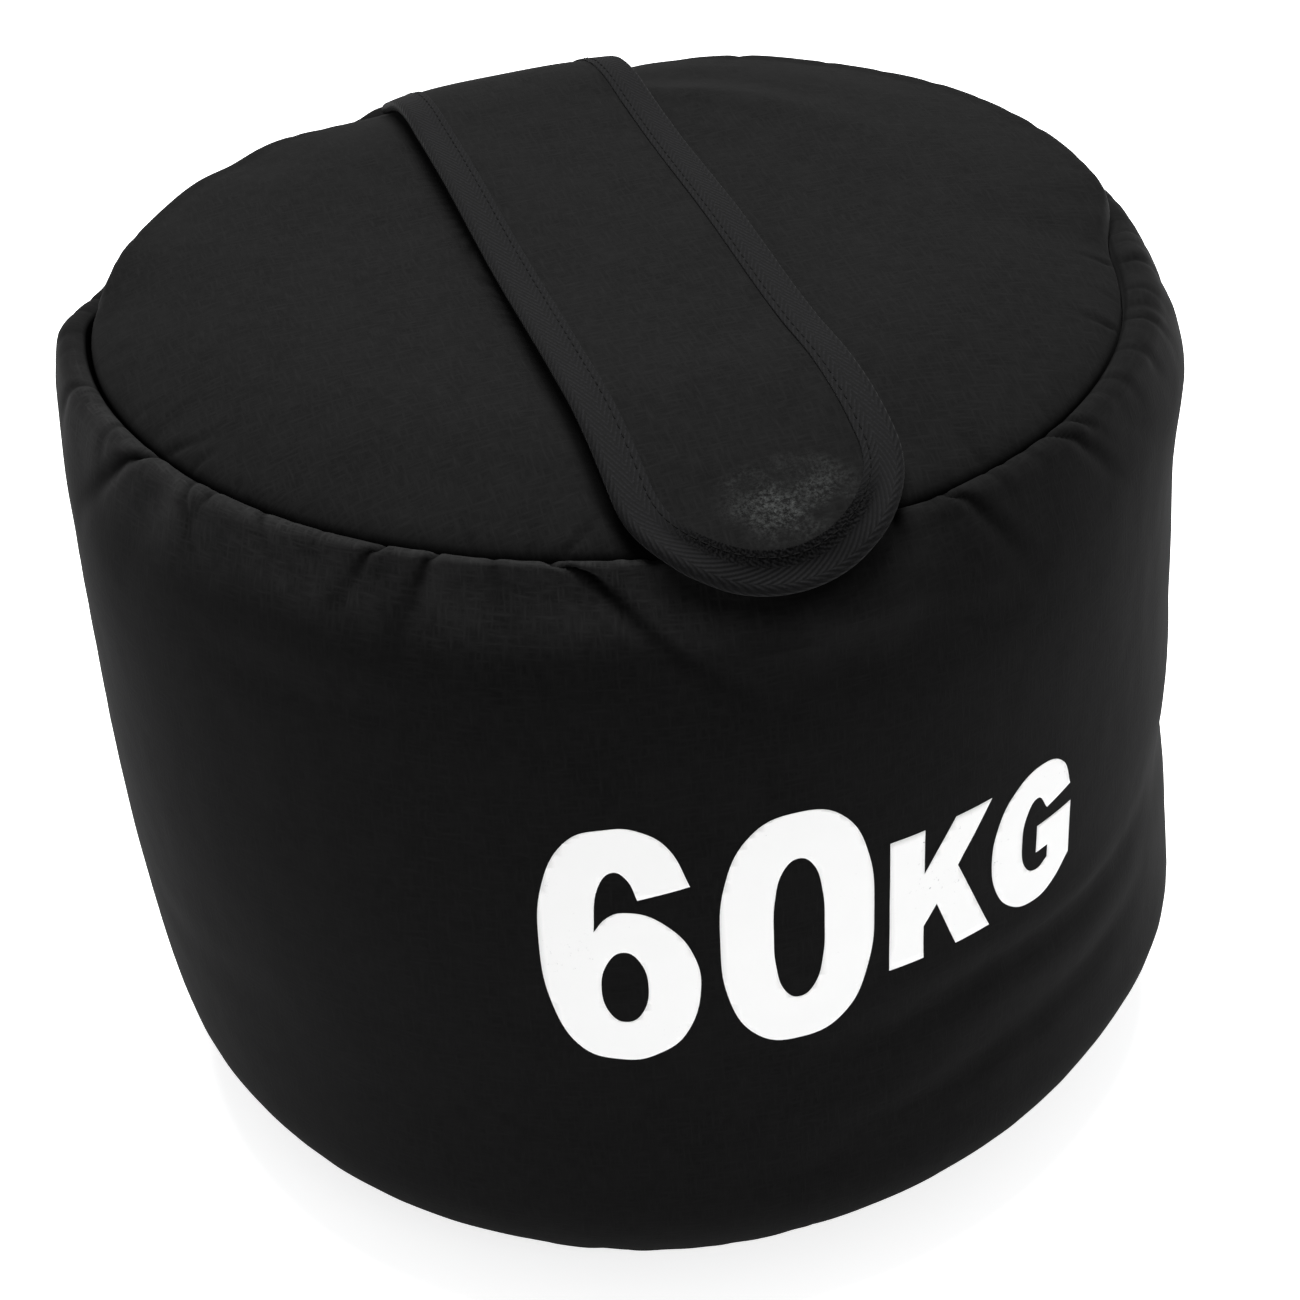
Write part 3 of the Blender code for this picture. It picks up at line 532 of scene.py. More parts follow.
class SandbagStage(bpy.types.PropertyGroup):
    lens: bpy.props.FloatProperty(name="Lens", description="Focal length of the camera, mm", default=78.30)
    floor: bpy.props.FloatVectorProperty(
        name="Floor", description="Colour of the floor", subtype="COLOR", default=linear("#f4f4f5")
    )
    key_power: bpy.props.FloatProperty(
        name="Key", description="Power of the large overhead light", default=78.0
    )
    fill_power: bpy.props.FloatProperty(
        name="Fill", description="Power of the light from the front", default=6.5
    )
    sky: bpy.props.FloatProperty(
        name="Sky", description="Strength of the even light all round", default=0.40
    )


GROUPS = {
    "sandbag_cloth": SandbagCloth,
    "sandbag_flap": SandbagFlap,
    "sandbag_mark": SandbagMark,
    "sandbag_stage": SandbagStage,
}


# Curves and meshes


def marks_of(line):
    """How far along a line each of its points lies."""
    return np.concatenate([[0.0], np.cumsum(np.linalg.norm(np.diff(line, axis=0), axis=1))])


def smooth_through(marks, values, where):
    """Rows of values at marks, read at other places from a smooth curve through them."""
    slopes = np.gradient(values, marks, axis=0)
    index = np.clip(np.searchsorted(marks, where, "right") - 1, 0, len(marks) - 2)
    span = (marks[index + 1] - marks[index])[:, None]
    share = ((where - marks[index])[:, None]) / span
    return (
        values[index] * (1 + 2 * share) * (1 - share) ** 2
        + slopes[index] * span * share * (1 - share) ** 2
        + values[index + 1] * share**2 * (3 - 2 * share)
        + slopes[index + 1] * span * share**2 * (share - 1)
    )


def smooth_line(points, step):
    """A smooth curve through points in mm, sampled at even steps, in metres."""
    spots = np.array(points, float) * MM
    marks = marks_of(spots)
    curve = smooth_through(marks, spots, np.linspace(0, marks[-1], int(marks[-1] / step) * CURVE_SAMPLES))
    run = marks_of(curve)
    even = np.linspace(0, run[-1], max(int(run[-1] / step), 4) + 1)
    return np.column_stack([np.interp(even, run, curve[:, axis]) for axis in (0, 1)])


def ramp(value, start, end):
    """Rises evenly from 0 to 1 between two values."""
    return np.clip((value - start) / (end - start), 0, 1)


def smooth_step(value, start, end):
    """Rises softly from 0 to 1 between two values."""
    share = ramp(value, start, end)
    return share * share * (3 - 2 * share)


def bell(away, spread):
    """A soft hump of 1 that fades with the way from its middle."""
    return np.exp(-((away / spread) ** 2))


def graded(line, fine, wide, focus):
    """Thins a finely sampled line to close steps near a focus along it and wide steps away from it."""
    marks = marks_of(line)
    start, length = GRADED
    kept = [0]
    for index, mark in enumerate(marks[:-1]):
        far = np.clip((abs(mark - focus) - start * MM) / (length * MM), 0, 1)
        if mark - marks[kept[-1]] >= fine + (wide - fine) * far:
            kept.append(index)
    return line[kept + [len(line) - 1]]


def new_object(name, bm, material):
    mesh = bpy.data.meshes.new(name)
    bm.to_mesh(mesh)
    bm.free()
    mesh.materials.append(material)
    mesh.shade_smooth()
    obj = bpy.data.objects.new(name, mesh)
    bpy.context.scene.collection.objects.link(obj)
    return obj


def new_edges(grown):
    """The edges among what an extrusion made."""
    return [item for item in grown if isinstance(item, bmesh.types.BMEdge)]


def cut_at(bm, place, way, **settings):
    """Cuts a whole mesh along a plane."""
    geometry = bm.verts[:] + bm.edges[:] + bm.faces[:]
    bmesh.ops.bisect_plane(bm, geom=geometry, plane_co=place, plane_no=way, **settings)


def face_outwards(bm):
    """Turns the faces of an open shell away from the bag's middle."""
    bmesh.ops.recalc_face_normals(bm, faces=bm.faces)
    bm.normal_update()
    outward = 0.0
    for face in bm.faces:
        outward += (face.calc_center_median() - BAG_MIDDLE).dot(face.normal) * face.calc_area()
    if outward < 0:
        bmesh.ops.reverse_faces(bm, faces=bm.faces)


def turned(line, steps):
    """A grid wrapped round the bag's axis along a line of (radius, height).
    Each point keeps its place along the line as "run"."""
    bm = bmesh.new()
    run = bm.verts.layers.float.new("run")
    bmesh.ops.create_grid(bm, x_segments=steps, y_segments=len(line) - 1, size=0.5)
    marks = marks_of(line)
    for vert in bm.verts:
        row = round((vert.co.y + 0.5) * (len(line) - 1))
        angle = (vert.co.x + 0.5) * math.tau
        radius, height = line[row]
        vert[run] = marks[row]
        vert.co = (math.sin(angle) * radius, -math.cos(angle) * radius, height)
    bmesh.ops.remove_doubles(bm, verts=bm.verts, dist=0.001 * MM)
    face_outwards(bm)
    return bm


def thicken(obj, thickness, offset=-1.0):
    modifier = obj.modifiers.new("cloth_thickness", "SOLIDIFY")
    modifier.thickness = thickness
    modifier.offset = offset


def vectors_of(mesh, name):
    """The places or the normals of a mesh's points, as rows."""
    values = np.zeros(len(mesh.vertices) * 3)
    mesh.vertices.foreach_get(name, values)
    return values.reshape(-1, 3)


def points_of(mesh):
    return vectors_of(mesh, "co")


def runs_of(mesh):
    """How far along the spun line each point lies."""
    run = np.zeros(len(mesh.vertices))
    mesh.attributes["run"].data.foreach_get("value", run)
    return run


def mark_points(mesh, name, values):
    """Keeps a value from 0 to 1 at each point for the materials."""
    layer = mesh.attributes.new(name, "FLOAT", "POINT")
    layer.data.foreach_set("value", np.clip(values, 0, 1).astype(np.float32))


def move_points(mesh, places):
    mesh.vertices.foreach_set("co", np.ascontiguousarray(places, np.float32).ravel())
    mesh.update()


def bearings(places):
    """The bearing of each point from the front of the bag, positive to the right, in radians."""
    return np.arctan2(places[:, 0], -places[:, 1])


def wrapped(angle):
    return (angle + np.pi) % math.tau - np.pi


def degrees_from(bearing, angle):
    """How far round the bag from a bearing in degrees each angle in radians lies, in degrees."""
    return np.degrees(wrapped(angle - math.radians(bearing)))


def corners_of(mesh):
    """The point at each corner of each face."""
    corners = np.zeros(len(mesh.loops), int)
    mesh.loops.foreach_get("vertex_index", corners)
    return corners


def map_cloth(mesh, places):
    """Sets the UVs of the cloth, in metres, from a row for each corner."""
    layer = mesh.uv_layers.new(name="cloth")
    layer.data.foreach_set("uv", np.asarray(places, np.float32).ravel())


def map_round(mesh, radius):
    """UVs round the bag at a nominal radius and along the spun line."""
    angle = bearings(points_of(mesh))
    corners = corners_of(mesh)
    starts = np.zeros(len(mesh.polygons), int)
    mesh.polygons.foreach_get("loop_start", starts)
    first = angle[corners][np.repeat(starts, np.diff(np.append(starts, len(corners))))]
    around = first + wrapped(angle[corners] - first)
    map_cloth(mesh, np.column_stack([around * radius, runs_of(mesh)[corners]]))


def map_flat(mesh, flat):
    """UVs from each point's place in the flat pattern."""
    map_cloth(mesh, np.asarray(flat, np.float32)[corners_of(mesh)][:, :2])


def rough(places, size, seed):
    """Smooth noise from -1 to 1 at each point, for lumps of a given size."""
    lattice = np.random.default_rng(seed).uniform(-1, 1, (32, 32, 32))
    spots = np.asarray(places) / size
    base = np.floor(spots).astype(int)
    share = spots - base
    share = share * share * (3 - 2 * share)
    total = np.zeros(len(spots))
    for corner in itertools.product((0, 1), repeat=3):
        index = (base + corner) % 32
        weight = np.prod(np.where(corner, share, 1 - share), axis=1)
        total += weight * lattice[index[:, 0], index[:, 1], index[:, 2]]
    return 0.8 * total


def lumps(places, *rows):
    """The sum of smooth noises, each given as height, size in mm and seed."""
    return sum(height * rough(places, size * MM, seed) for height, size, seed in rows)


# Form of the bag


def sway(angle, shares):
    """A push that varies slowly round the bag."""
    level, front, right, long, slant = shares
    once = front * np.cos(angle) + right * np.sin(angle)
    return level + (once + long * np.cos(2 * angle) + slant * np.sin(2 * angle))


def outside_flap(places):
    """How far outside the flap's outline each point lies, mm, below nought inside it."""
    x, y = places[:, 0] / MM, places[:, 1] / MM
    return np.where(y > TIP_MIDDLE, np.abs(x), np.hypot(x, y - TIP_MIDDLE)) - FLAP_HALF_WIDTH


def flap_shade(places):
    """Painted shade on the cloth just outside the flap's edge, where the flap shades it."""
    strength, away, spread, level, furthest = FLAP_SHADE
    above = (places[:, 2] > level * MM) & (places[:, 1] < furthest * MM)
    return strength * bell(outside_flap(places) - away, spread) * above


def full_end(angle):
    """Where the filling presses the seam nearly flat, at the right, from 0 to 1."""
    bearing, spread = FULL_END
    return bell(degrees_from(bearing, angle), spread)


def seam_shade(angle, away, width):
    """Painted shade in the seam's gap, by distance from it."""
    return (SEAM_SHADE - away / (width * MM)) * (1 - FULL_END_SHADE * full_end(angle))


def back_share(angle):
    """Where the full roll at the back shows, from 0 to 1."""
    return 1 - smooth_step(np.abs(degrees_from(ROLL_MIDDLE, angle)), *ROLL_SIDES)


def roll_at_back(angle, reach):
    """Push and lift of the full roll that hides the seam at the back, mm."""
    line = np.array(ROLL_LINE)
    marks = np.arange(line[0, 0], line[-1, 0], ROLL_STEP)
    values = smooth_through(line[:, 0], line[:, 1:], marks)
    shown = back_share(angle)
    push, lift = (np.interp(reach, marks, values[:, column]) * shown for column in (0, 1))
    for bearing, spread, drop in ROLL_TUCKS:
        lift -= drop * bell(degrees_from(bearing, angle), spread) * ramp(reach, *ROLL_TUCK_REACH) * shown
    return push, lift


def wall_push(places, angle, height, reach, facing):
    """How far the wall stands out of round, and how the top goes with its seam, mm."""
    level, slope, bow = (sway(angle, shares) for shares in WALL_SWAY)
    climb = 2 * height / SHOULDER_LEVEL - 1
    push = level + climb * slope + (climb**2 - BOW_MEAN) * bow
    for middle, spread, out in FOOT_TUCKS:
        push += out * bell(height - middle, spread)
    push *= ramp(height, *FOOT_LEVELS)
    rolled = back_share(angle)
    sewn = sway(angle, SEAM_SWAY) * (1 - rolled) + (level + slope + (1 - BOW_MEAN) * bow) * rolled
    push += facing * smooth_step(height, *FACING_LEVELS) * (sewn + FACING_PUSH - push)
    push += smooth_step(height, *SEAM_LEVELS) * (sewn * ramp(reach, *SLOPE_REACH) - push)
    for bearing, round_spread, middle, spread, out in WALL_BULGES:
        bulge = bell(degrees_from(bearing, angle), round_spread) * bell(height - middle, spread)
        push += out * bulge * smooth_step(reach, *BULGE_REACH)
    shown = ramp(reach, *WALL_LUMP_REACH) * ramp(height, *WALL_LUMP_LEVELS)
    return push + lumps(places, *WALL_LUMPS) * shown


def top_lift(places, angle, height, reach, facing):
    """How the sand lifts the top, and how the seam and the flap press into it, mm."""
    x, y = places[:, 0] / MM, places[:, 1] / MM
    lift = lumps(places, *TOP_LUMPS)
    for heap_x, heap_y, rise, spread in TOP_HEAPS:
        lift += rise * bell(np.hypot(x - heap_x, y - heap_y), spread)
    lift *= np.maximum(ramp(np.abs(x), *BESIDE_FLAP), 0.5 * ramp(reach, *UNDER_FLAP))
    at_seam = height > SEAM_FORM_LEVEL
    depth, middle, spread = SEAM_DITCH
    lift -= depth * (1 - FULL_END_DITCH * full_end(angle)) * bell(reach - middle, spread) * at_seam
    depth, middle, spread = SHOULDER_SINK
    lift -= depth * bell(reach - middle, spread) * facing * at_seam
    depth, inset, spread = FLAP_GROOVE
    under_edge = bell(outside_flap(places) + inset, spread) * (1 - smooth_step(y, *GROOVE_END))
    lift -= depth * under_edge * ramp(height, *GROOVE_LEVELS)
    bearing, round_spread, *rings = BACK_RIDGE
    beside = bell(degrees_from(bearing, angle), round_spread) * smooth_step(np.abs(x), *RIDGE_BESIDE)
    for middle, spread, rise in rings:
        lift += rise * beside * bell(reach - middle, spread)
    return lift


def settle(places):
    """Moves points of the shell as the sand and the sewing have pulled it out of round."""
    angle = bearings(places)
    height = places[:, 2] / MM
    reach = np.linalg.norm(places[:, :2], axis=1) / MM
    facing = 1 - smooth_step(np.abs(degrees_from(FACING, angle)), *FACING_SIDES)
    push = wall_push(places, angle, height, reach, facing)
    lift = top_lift(places, angle, height, reach, facing)
    off_middle = np.abs(places[:, 0]) / MM
    roll, rise = roll_at_back(angle, reach)
    beside = smooth_step(off_middle, *ROLL_BESIDE)
    push += roll * beside * (height > ROLL_LEVEL)
    drop_share = DROP_UNDER + (1 - DROP_UNDER) * smooth_step(off_middle, *DROP_BESIDE)
    lift += np.where(rise > 0, rise * beside, rise * drop_share)
    level, front, right = SEAM_TILT
    tilt = level + front * np.cos(angle) + right * np.sin(angle)
    tilt *= ramp(height, *TILT_LEVELS) * ramp(reach, *SLOPE_REACH)
    moved = places.copy()
    moved[:, :2] += np.column_stack([np.sin(angle), -np.cos(angle)]) * (push * MM)[:, None]
    moved[:, 2] += (lift * ramp(height, *LIFT_LEVELS) + tilt) * MM
    return moved


def crease(angle, away, bearing, depth, length, lean, half_width):
    """Depth of one crease drawn in by a seam, by bearing in radians and distance from the seam in mm."""
    side = wrapped(angle - bearing) * SEAM_RADIUS - lean * away
    spread = half_width + CREASE_FAN * away
    valley = bell(side, spread) - RIDGE_SHARE * bell(side, RIDGE_WIDTH * spread)
    return depth * valley * np.exp(-((away / length) ** CREASE_FADE))


def creases(angle, away, named, count, depth, length, widths, seed, calm):
    """Depth in metres of all the creases along a seam: the named ones, and small ones at uneven spacings."""
    away = away / MM
    total = np.zeros(len(angle))
    near = away < CREASE_REACH
    for bearing, deep, long, lean, half_width in named:
        total[near] += crease(angle[near], away[near], math.radians(bearing), deep, long, lean, half_width)
    rng = np.random.default_rng(seed)
    full_from, full_to = np.radians(FULL_BEARINGS)
    spots = np.linspace(-np.pi, np.pi, count, endpoint=False) + rng.normal(0, 0.35 * math.tau / count, count)
    for spot in spots:
        deep, long = depth * rng.gamma(2.0, 0.5), length * rng.uniform(0.4, 1.6)
        lean, half_width = rng.normal(0, 0.4), rng.uniform(*widths)
        if full_from < wrapped(spot) < full_to:
            deep *= calm
        total[near] += crease(angle[near], away[near], spot, deep, long, lean, half_width)
    return total * MM * (1 - np.exp(-away / CREASE_START))


def long_folds(angle, level):
    """Depth of the soft folds in the wall, each tapering to its ends, mm."""
    total = np.zeros(len(angle))
    for points, half_width, depth in LONG_FOLDS:
        line = np.array(points, float)
        middle = math.radians(line[:, 0].mean())
        across = wrapped(angle - middle) * WALL_RADIUS
        line[:, 0] = np.radians(line[:, 0] - math.degrees(middle)) * WALL_RADIUS
        marks = marks_of(line)
        nearest = np.full(len(angle), np.inf)
        where = np.zeros(len(angle))
        for start, end, mark in zip(line, line[1:], marks):
            way = end - start
            share = ((across - start[0]) * way[0] + (level - start[1]) * way[1]) / (way @ way)
            share = np.clip(share, 0, 1)
            away = np.hypot(across - start[0] - share * way[0], level - start[1] - share * way[1])
            nearer = away < nearest
            nearest = np.where(nearer, away, nearest)
            where = np.where(nearer, (mark + share * math.sqrt(way @ way)) / marks[-1], where)
        taper = np.clip(FOLD_TAPER * where * (1 - where), 0, 1)
        total += depth * taper * bell(nearest, half_width)
    return total


# Canvas shell


def swelling(cloth, canvas):
    """Inflates a plain copy of the wall as cloth cut a little larger than its place and held at its rims.
    Gives the way that each spot moves out, as a table by place along the wall's line and by bearing."""
    line = smooth_line(WALL_LINE, cloth.cloth_step)
    steps = cloth.cloth_turns
    marks = marks_of(line)
    table = np.zeros((len(line), steps))
    panel = new_object("swelling_wall", turned(line, steps), canvas)
    mesh = panel.data
    start = settle(points_of(mesh))
    move_points(mesh, start)
    run = runs_of(mesh)
    normals = vectors_of(mesh, "normal")
    top = marks_of(smooth_line(WALL_LINE, 1 * MM))[-1] / MM
    back_from, back_to = HELD_TOP
    held = 1 - smooth_step(run / MM, *HELD_FOOT)
    held = np.maximum(held, smooth_step(run / MM, top - back_from, top - back_to))
    holds = panel.vertex_groups.new(name="held")
    for index, weight in enumerate(held):
        holds.add([index], float(weight), "REPLACE")
    panel.shape_key_add(name="Basis")
    cut = panel.shape_key_add(name="cut")
    middle = np.array(BAG_MIDDLE)
    larger = middle + (start - middle) * (1 + cloth.ease)
    cut.data.foreach_set("co", np.ascontiguousarray(larger, np.float32).ravel())
    cut.value = 0.0
    swelled = panel.modifiers.new("cloth", "CLOTH")
    for name, value in SWELL_SETTINGS.items():
        setattr(swelled.settings, name, value)
    swelled.settings.vertex_group_mass = "held"
    swelled.settings.rest_shape_key = cut
    swelled.settings.effector_weights.gravity = 0
    swelled.collision_settings.use_collision = False
    swelled.point_cache.frame_start, swelled.point_cache.frame_end = 1, SWELL_FRAMES
    for number in range(1, SWELL_FRAMES + 1):
        bpy.context.scene.frame_set(number)
    swollen = points_of(panel.evaluated_get(bpy.context.evaluated_depsgraph_get()).data)
    bpy.context.scene.frame_set(1)
    out = np.einsum("ij,ij->i", swollen - start, normals)
    rows = np.argmin(np.abs(run[:, None] - marks[None, :]), axis=1)
    columns = np.round((bearings(start) / math.tau + 0.5) * steps).astype(int) % steps
    table[rows, columns] = cloth.swell_most * np.tanh(out / cloth.swell_most)
    bpy.data.objects.remove(panel, do_unlink=True)
    return marks, table


def swell_at(marks, table, run, angle):
    """The way out at each point, read from the coarse table."""
    steps = table.shape[1]
    row = np.interp(run, marks, np.arange(len(marks)))
    column = (angle / math.tau + 0.5) * steps
    low_row = np.clip(np.floor(row).astype(int), 0, len(marks) - 2)
    low_column = np.floor(column).astype(int)
    down, over = row - low_row, column - low_column
    first, second = low_column % steps, (low_column + 1) % steps
    near = table[low_row, first] * (1 - over) + table[low_row, second] * over
    far = table[low_row + 1, first] * (1 - over) + table[low_row + 1, second] * over
    return near * (1 - down) + far * down


def shoulder_highlight(places, angle, away):
    """Painted highlight where the cloth turns over the front of the shoulder, painted paler there, from 0 to
    1.
    """
    painted_shoulder_light = 1 - smooth_step(away / MM + lumps(places, HIGHLIGHT_RAGGED), *HIGHLIGHT_FADE)
    painted_shoulder_light *= smooth_step(np.degrees(angle), *HIGHLIGHT_LEFT) * (1 - smooth_step(np.degrees(angle), *HIGHLIGHT_RIGHT))
    level, *patches = HIGHLIGHT_PATCHES
    return painted_shoulder_light * (level + lumps(places, patches))


def make_wall(cloth, canvas):
    marks, table = swelling(cloth, canvas)
    line = smooth_line(WALL_LINE, LINE_STEP)
    crest = marks_of(line)[np.argmax(line[:, 1])]
    line = graded(line, cloth.fine_step, cloth.wide_step, crest)
    wall = new_object("canvas_wall", turned(line, cloth.ring_steps), canvas)
    mesh = wall.data
    run = runs_of(mesh)
    places = settle(points_of(mesh))
    move_points(mesh, places)
    normals = vectors_of(mesh, "normal")
    angle = bearings(places)
    to_turn = crest + WALL_TURN * MM - run
    away = np.maximum(to_turn, 0)
    depth = creases(angle, away, WALL_CREASES, cloth.puckers, cloth.pucker_depth / MM, *PUCKERS)
    # Painted shade: creases, the seam's gap and the flap's edge are marked darker for the canvas material
    painted_shade = np.maximum(depth / (CREASE_SHADE_DEPTH * MM), seam_shade(angle, away, WALL_SHADE))
    mark_points(mesh, "painted_shade", np.maximum(painted_shade, flap_shade(places)))
    # Painted highlight: a paler band over the front of the shoulder
    mark_points(mesh, "painted_shoulder_light", shoulder_highlight(places, angle, away))
    depth += creases(angle, away, (), *SOFT_CREASES)
    depth += creases(angle, np.maximum(run - FOOT_TURN * MM, 0), (), *FOOT_CREASES)
    depth += (long_folds(angle, places[:, 2] / MM) + lumps(places, WALL_GRAIN)) * MM
    depth -= swell_at(marks, table, run, angle)
    places -= normals * (depth * ramp(to_turn, 0, TURN_FADE * MM))[:, None]
    move_points(mesh, places)
    map_round(mesh, WALL_RADIUS * MM)
    close_inside(wall)
    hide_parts("side_panel")
    return wall


def close_inside(wall):
    """Gives the shell an inner face by carrying its top edge down inside to its bottom edge."""
    bm = bmesh.new()
    bm.from_mesh(wall.data)
    rims = [edge for edge in bm.edges if edge.is_boundary]
    top = [edge for edge in rims if edge.verts[0].co.z > BAG_MIDDLE.z]
    foot = [edge for edge in rims if edge.verts[0].co.z <= BAG_MIDDLE.z]
    for radius, height in WALL_INSIDE:
        top = new_edges(bmesh.ops.extrude_edge_only(bm, edges=top)["geom"])
        for vert in {vert for edge in top for vert in edge.verts}:
            flat = Vector((vert.co.x, vert.co.y)).normalized() * (radius * MM)
            vert.co = (flat.x, flat.y, height * MM)
    bmesh.ops.bridge_loops(bm, edges=top + foot)
    bmesh.ops.recalc_face_normals(bm, faces=bm.faces)
    bm.to_mesh(wall.data)
    bm.free()
    wall.data.shade_smooth()


def half_of_top(bm, side):
    """Keeps one half of the top and cuts the zip's slot out of it."""
    cut_at(bm, (side * HALVES_GAP * MM, 0, 0), (-side, 0, 0), clear_outer=True)
    cut_at(bm, (side * SLOT_HALF_WIDTH * MM, 0, 0), (1, 0, 0))
    for end in (SLOT_FRONT, SLOT_BACK):
        cut_at(bm, (0, end * MM, 0), (0, 1, 0))
    slot = []
    for face in bm.faces:
        x, y, height = face.calc_center_median() / MM
        if abs(x) < SLOT_HALF_WIDTH and SLOT_FRONT < y < SLOT_BACK and height > SLOT_LEVEL:
            slot.append(face)
    bmesh.ops.delete(bm, geom=slot, context="FACES")


def make_top_half(name, side, line, cloth, canvas):
    bm = turned(line, cloth.ring_steps)
    half_of_top(bm, side)
    half = new_object(f"canvas_top_{name}", bm, canvas)
    mesh = half.data
    run = runs_of(mesh)
    edge = marks_of(line)[-1]
    places = settle(points_of(mesh))
    move_points(mesh, places)
    normals = vectors_of(mesh, "normal")
    angle = bearings(places)
    off_middle = np.abs(places[:, 0]) / MM
    away = np.maximum(edge - TOP_TURN * MM - run, 0)
    depth = creases(angle, away, TOP_CREASES, *TOP_PUCKERS)
    depth *= np.maximum(ramp(off_middle, *CREASE_BESIDE), CREASE_UNDER)
    # Painted shade: creases, the seam's gap and the flap's edge are marked darker for the canvas material
    painted_shade = np.maximum(depth / (CREASE_SHADE_DEPTH * MM), seam_shade(angle, away, TOP_SHADE))
    mark_points(mesh, "painted_shade", np.maximum(painted_shade, flap_shade(places)))
    depth += lumps(places, TOP_GRAIN) * MM * ramp(off_middle, *GRAIN_BESIDE)
    shown = ramp(edge - TOP_EDGE * MM - run, 0, TURN_FADE * MM)
    places -= normals * (depth * shown)[:, None]
    move_points(mesh, places)
    map_flat(mesh, places)
    thicken(half, CANVAS_THICKNESS)
    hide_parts(f"top_panel_{name}")
    return half


def make_top(cloth, canvas):
    line = smooth_line(TOP_LINE, LINE_STEP)
    line = graded(line, cloth.fine_step, TOP_WIDE_SHARE * cloth.wide_step, marks_of(line)[-1])
    return [make_top_half(name, side, line, cloth, canvas) for name, side in (("left", -1), ("right", 1))]


def make_base(cloth, canvas):
    line = smooth_line(BASE_LINE, BASE_STEP)
    base = new_object("canvas_base", turned(line, cloth.ring_steps // 3), canvas)
    map_flat(base.data, points_of(base.data))
    thicken(base, CANVAS_THICKNESS)
    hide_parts("base_panel")
    return base


# Flap


def flap_curve():
    """The flap's underside as points, distances from the tip, and the way up."""
    curve = smooth_line(FLAP_LINE, 1.0 * MM)
    marks = marks_of(curve)
    tip = marks[np.argmin(np.linalg.norm(curve - np.array(FLAP_LINE[1]) * MM, axis=1))]
    headings = np.gradient(curve, marks, axis=0)
    headings /= np.linalg.norm(headings, axis=1)[:, None]
    return curve, marks - tip, np.column_stack([-headings[:, 1], headings[:, 0]])


def lay_flap(flat):
    """Lays points of the flat flap (across, from the tip, above) onto its path over the bag."""
    curve, marks, up = flap_curve()
    across, along, above = np.asarray(flat).T / MM
    further, back = TIP_REACH
    reached = (along - further * np.clip(1 - along / back, 0, 1)) * MM
    places = [np.interp(reached, marks, curve[:, axis]) for axis in (0, 1)]
    ways = [np.interp(reached, marks, up[:, axis]) for axis in (0, 1)]
    edge = across / FLAP_HALF_WIDTH
    rise, length, start = FLAP_WAVES
    waves = rise * np.sin(along / length) * edge * ramp(along, 0, start)
    drop, *root = ROOT_DROOP
    depth, spread = TIP_DROOP
    above = (above + waves - drop * edge**4 * smooth_step(along, *root) - depth * bell(along, spread)) * MM
    swing, middle, spread, skew = FLAP_SWING
    aside = FLAP_ASIDE + swing * bell(along - middle, spread) * (1 + skew * edge)
    return np.column_stack([(across + aside) * MM, places[0] + ways[0] * above, places[1] + ways[1] * above])


def flap_grid(flap, inset):
    """A flat grid with the flap's round tip, as a bmesh, from its tip to its root."""
    half = flap.half_width - inset
    tip = [half * (1 - math.cos(angle)) for angle in np.linspace(0.0, math.pi / 2, TIP_ROWS)]
    rows = tip + list(np.linspace(half, flap.length - inset, FLAP_ROWS)[1:])
    bm = bmesh.new()
    bmesh.ops.create_grid(bm, x_segments=FLAP_COLUMNS, y_segments=len(rows) - 1, size=0.5)
    for vert in bm.verts:
        along = rows[round((vert.co.y + 0.5) * (len(rows) - 1))]
        wide = math.sqrt(max(half**2 - (half - along) ** 2, 0)) if along < half else half
        vert.co = (vert.co.x * 2 * wide, along + inset, 0)
    bmesh.ops.remove_doubles(bm, verts=bm.verts, dist=0.01 * MM)
    return bm


def flap_relief(flap, flat):
    """Height of the cover over its flat pattern: a low crown, the closure's outline and fine wrinkles."""
    across, along = flat[:, 0], flat[:, 1]
    edge = np.clip(1 - (across / flap.half_width) ** 2, 0, 1)
    crown = flap.crown * edge * ramp(along, 0, CROWN_START * MM) ** 0.5
    rise, half_width, middle, half_length, soft = PATCH_PRINT
    patch = bell(np.maximum(np.abs(across) / MM - half_width, 0), soft)
    patch *= bell(np.maximum(np.abs(along / MM - middle) - half_length, 0), soft)
    return crown + (rise * patch + lumps(flat, COVER_GRAIN) * edge) * MM


def make_flap_layer(flap, form, material):
    name, node, inset, level, thickness = form
    layer = new_object(name, flap_grid(flap, inset * MM), material)
    flat = points_of(layer.data)
    flat[:, 2] = level * MM
    if form is COVER:
        flat[:, 2] += flap_relief(flap, flat)
    map_flat(layer.data, flat)
    move_points(layer.data, lay_flap(flat))
    thicken(layer, thickness * MM)
    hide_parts(node)
    return layer


def edge_line(flap, step):
    """Points round the flap's edge with the direction inwards, from the root round the tip and back."""
    half = flap.half_width
    straight = np.linspace(flap.length, half, int((flap.length - half) / step))
    around = np.linspace(0, math.pi, int(half * math.pi / step))
    line = [((half, along), (-1, 0)) for along in straight[:-1]]
    line += [((half * math.cos(a), half * (1 - math.sin(a))), (-math.cos(a), math.sin(a))) for a in around]
    return line + [((-half, along), (1, 0)) for along in straight[::-1][1:]]


